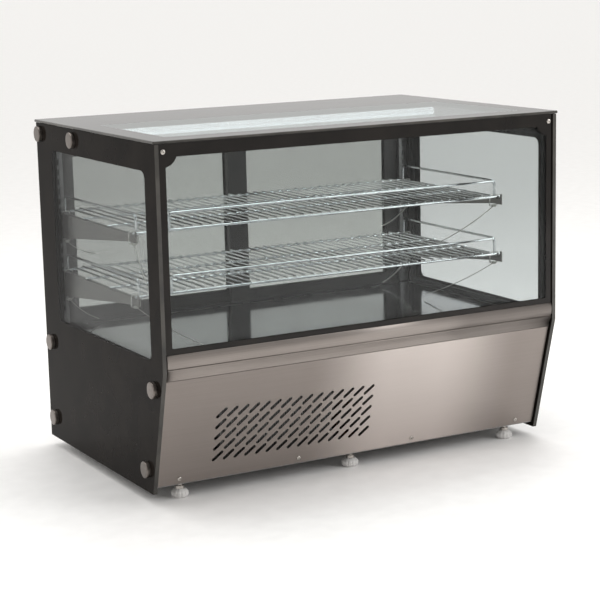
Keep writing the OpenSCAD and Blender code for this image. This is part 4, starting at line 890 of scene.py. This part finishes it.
def strap(bm, path, across, segments=28):
    """Lays a flat strap along path(t), t from 0 to 1, with its width along across(t)."""
    grid = bmesh.ops.create_grid(bm, x_segments=segments, y_segments=1, size=0.5)["verts"]
    places = {v: (v.co.x + 0.5, v.co.y) for v in grid}
    for v, (t, side) in places.items():
        v.co = path(t) + across(t) * (side * STRAP_W)
    faces = list({f for v in grid for f in v.link_faces})
    bmesh.ops.solidify(bm, geom=faces, thickness=STRAP_T)


def sagging(start, end, sag):
    """A curve from start to end that leaves downwards and eases out."""
    start, end = Vector(start), Vector(end)
    middle = (start + end) / 2 + Vector((0, 0, -sag))
    return lambda t: start * (1 - t) ** 2 + middle * (2 * t * (1 - t)) + end * t ** 2


TIES = [  # shelf, side, end, tail in mm from the head
    ("upper_shelf", 1, -1, (-50, 135, -90)), ("upper_shelf", -1, -1, (34, -25, -136)),
    ("upper_shelf", 1, 1, (-66, -1, -38)), ("upper_shelf", -1, 1, (60, -1, -30)),
    ("lower_shelf", 1, -1, (-69, 160, -85)), ("lower_shelf", -1, -1, (129, -14, -85)),
    ("lower_shelf", 1, 1, (-66, -1, -46)), ("lower_shelf", -1, 1, (60, -4, -46))]
REAR_DROP, FRONT_DROP = 56 * MM, 18 * MM        # from the shelf down to the tie's head
REAR_IN, FRONT_IN, SIDE_IN = 15.4 * MM, 16.4 * MM, 6 * MM
TIE_HEAD = Vector((8, 6.2, 5)) * MM
LOOP_HALF_W, TAIL_SAG = 9.5 * MM, 12 * MM
bm = bmesh.new()
for shelf, side, end, tail in TIES:
    low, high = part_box(shelf)
    drop = REAR_DROP if end > 0 else FRONT_DROP
    y = high[1] - REAR_IN if end > 0 else low[1] + FRONT_IN
    head = Vector((side * (high[0] - SIDE_IN), y, low[2] - drop))
    bmesh.ops.create_cube(bm, size=1.0, matrix=Matrix.Translation(head)
                          @ Matrix.Diagonal((*TIE_HEAD, 1)))
    loop_h = drop + ROD / 2 + 3.5 * MM

    def loop(t, head=head, loop_h=loop_h):
        angle = math.tau * t - math.pi / 2
        squash = lambda v: math.copysign(abs(v) ** 0.35, v)
        return head + Vector((squash(math.cos(angle)) * LOOP_HALF_W,
                              -math.sin(angle) * 2 * MM,
                              (squash(math.sin(angle)) + 1) * loop_h / 2))

    strap(bm, loop, lambda t: Vector((0, 1, 0)), 40)
    foot = head + Vector(tail) * MM
    level_dir = Vector((tail[1], -tail[0], 0)).normalized()
    strap(bm, sagging(head, foot, TAIL_SAG), lambda t, d=level_dir: d)
bmesh.ops.recalc_face_normals(bm, faces=bm.faces)
finish_piece("shelf_ties.fitted", bm, [nylon], "root", ("shelf_ties",), 40)
print("ties:", len(TIES))

# %% [markdown]
# ## The cooling unit
#
# What is behind the grille is seen only in slits, and through the slots of the rear panel, but
# it is real: a welded pot, finned coils, fans and copper pipes. The coils' fins already have
# their true spacing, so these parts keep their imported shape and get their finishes.

# %% Finishes of the inner parts
inner = {
    "compressor": (0.6, enamel), "condenser_fan_frame": (0.4, black_abs),
    "evaporator_fan_frame": (0.4, black_abs), "condenser_fan_blade": (0.3, fin_stock),
    "evaporator_fan_blade": (0.3, grey_pa),
}
counts = [broken_edges(node, width, material, 2, 45) for node, (width, material) in inner.items()]
print("inner pieces:", len(counts), "edges:", sum(counts))
kept_as_packed = {
    "condenser": fin_stock, "evaporator": fin_stock, "refrigerant_pipes": copper,
    "glazing_spacers": rubber, "top_seal": rubber,
}
for node, material in kept_as_packed.items():
    nodes[node].data.materials.clear()
    nodes[node].data.materials.append(material)

# %% Thermostat
# Its window is set 1 mm into the bezel; the faces at that depth are the smoked display.
bm = merged_copy("controller")
low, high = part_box("controller")
bmesh.ops.bevel(bm, geom=sharp_edges(bm), offset=0.3 * MM, offset_type="OFFSET", segments=2,
                profile=0.5, affect="EDGES", clamp_overlap=True, material=-1)
for face in bm.faces:
    depth_mm = (high[1] - face.calc_center_median().y) / MM
    upper = face.calc_center_median().z > (low[2] + high[2]) / 2
    face.material_index = 1 if face.normal.y > 0.9 and 0.5 < depth_mm < 1.5 and upper else 0
finish_piece("controller.finished", bm, [black_abs, display_glass], "root", ("controller",))
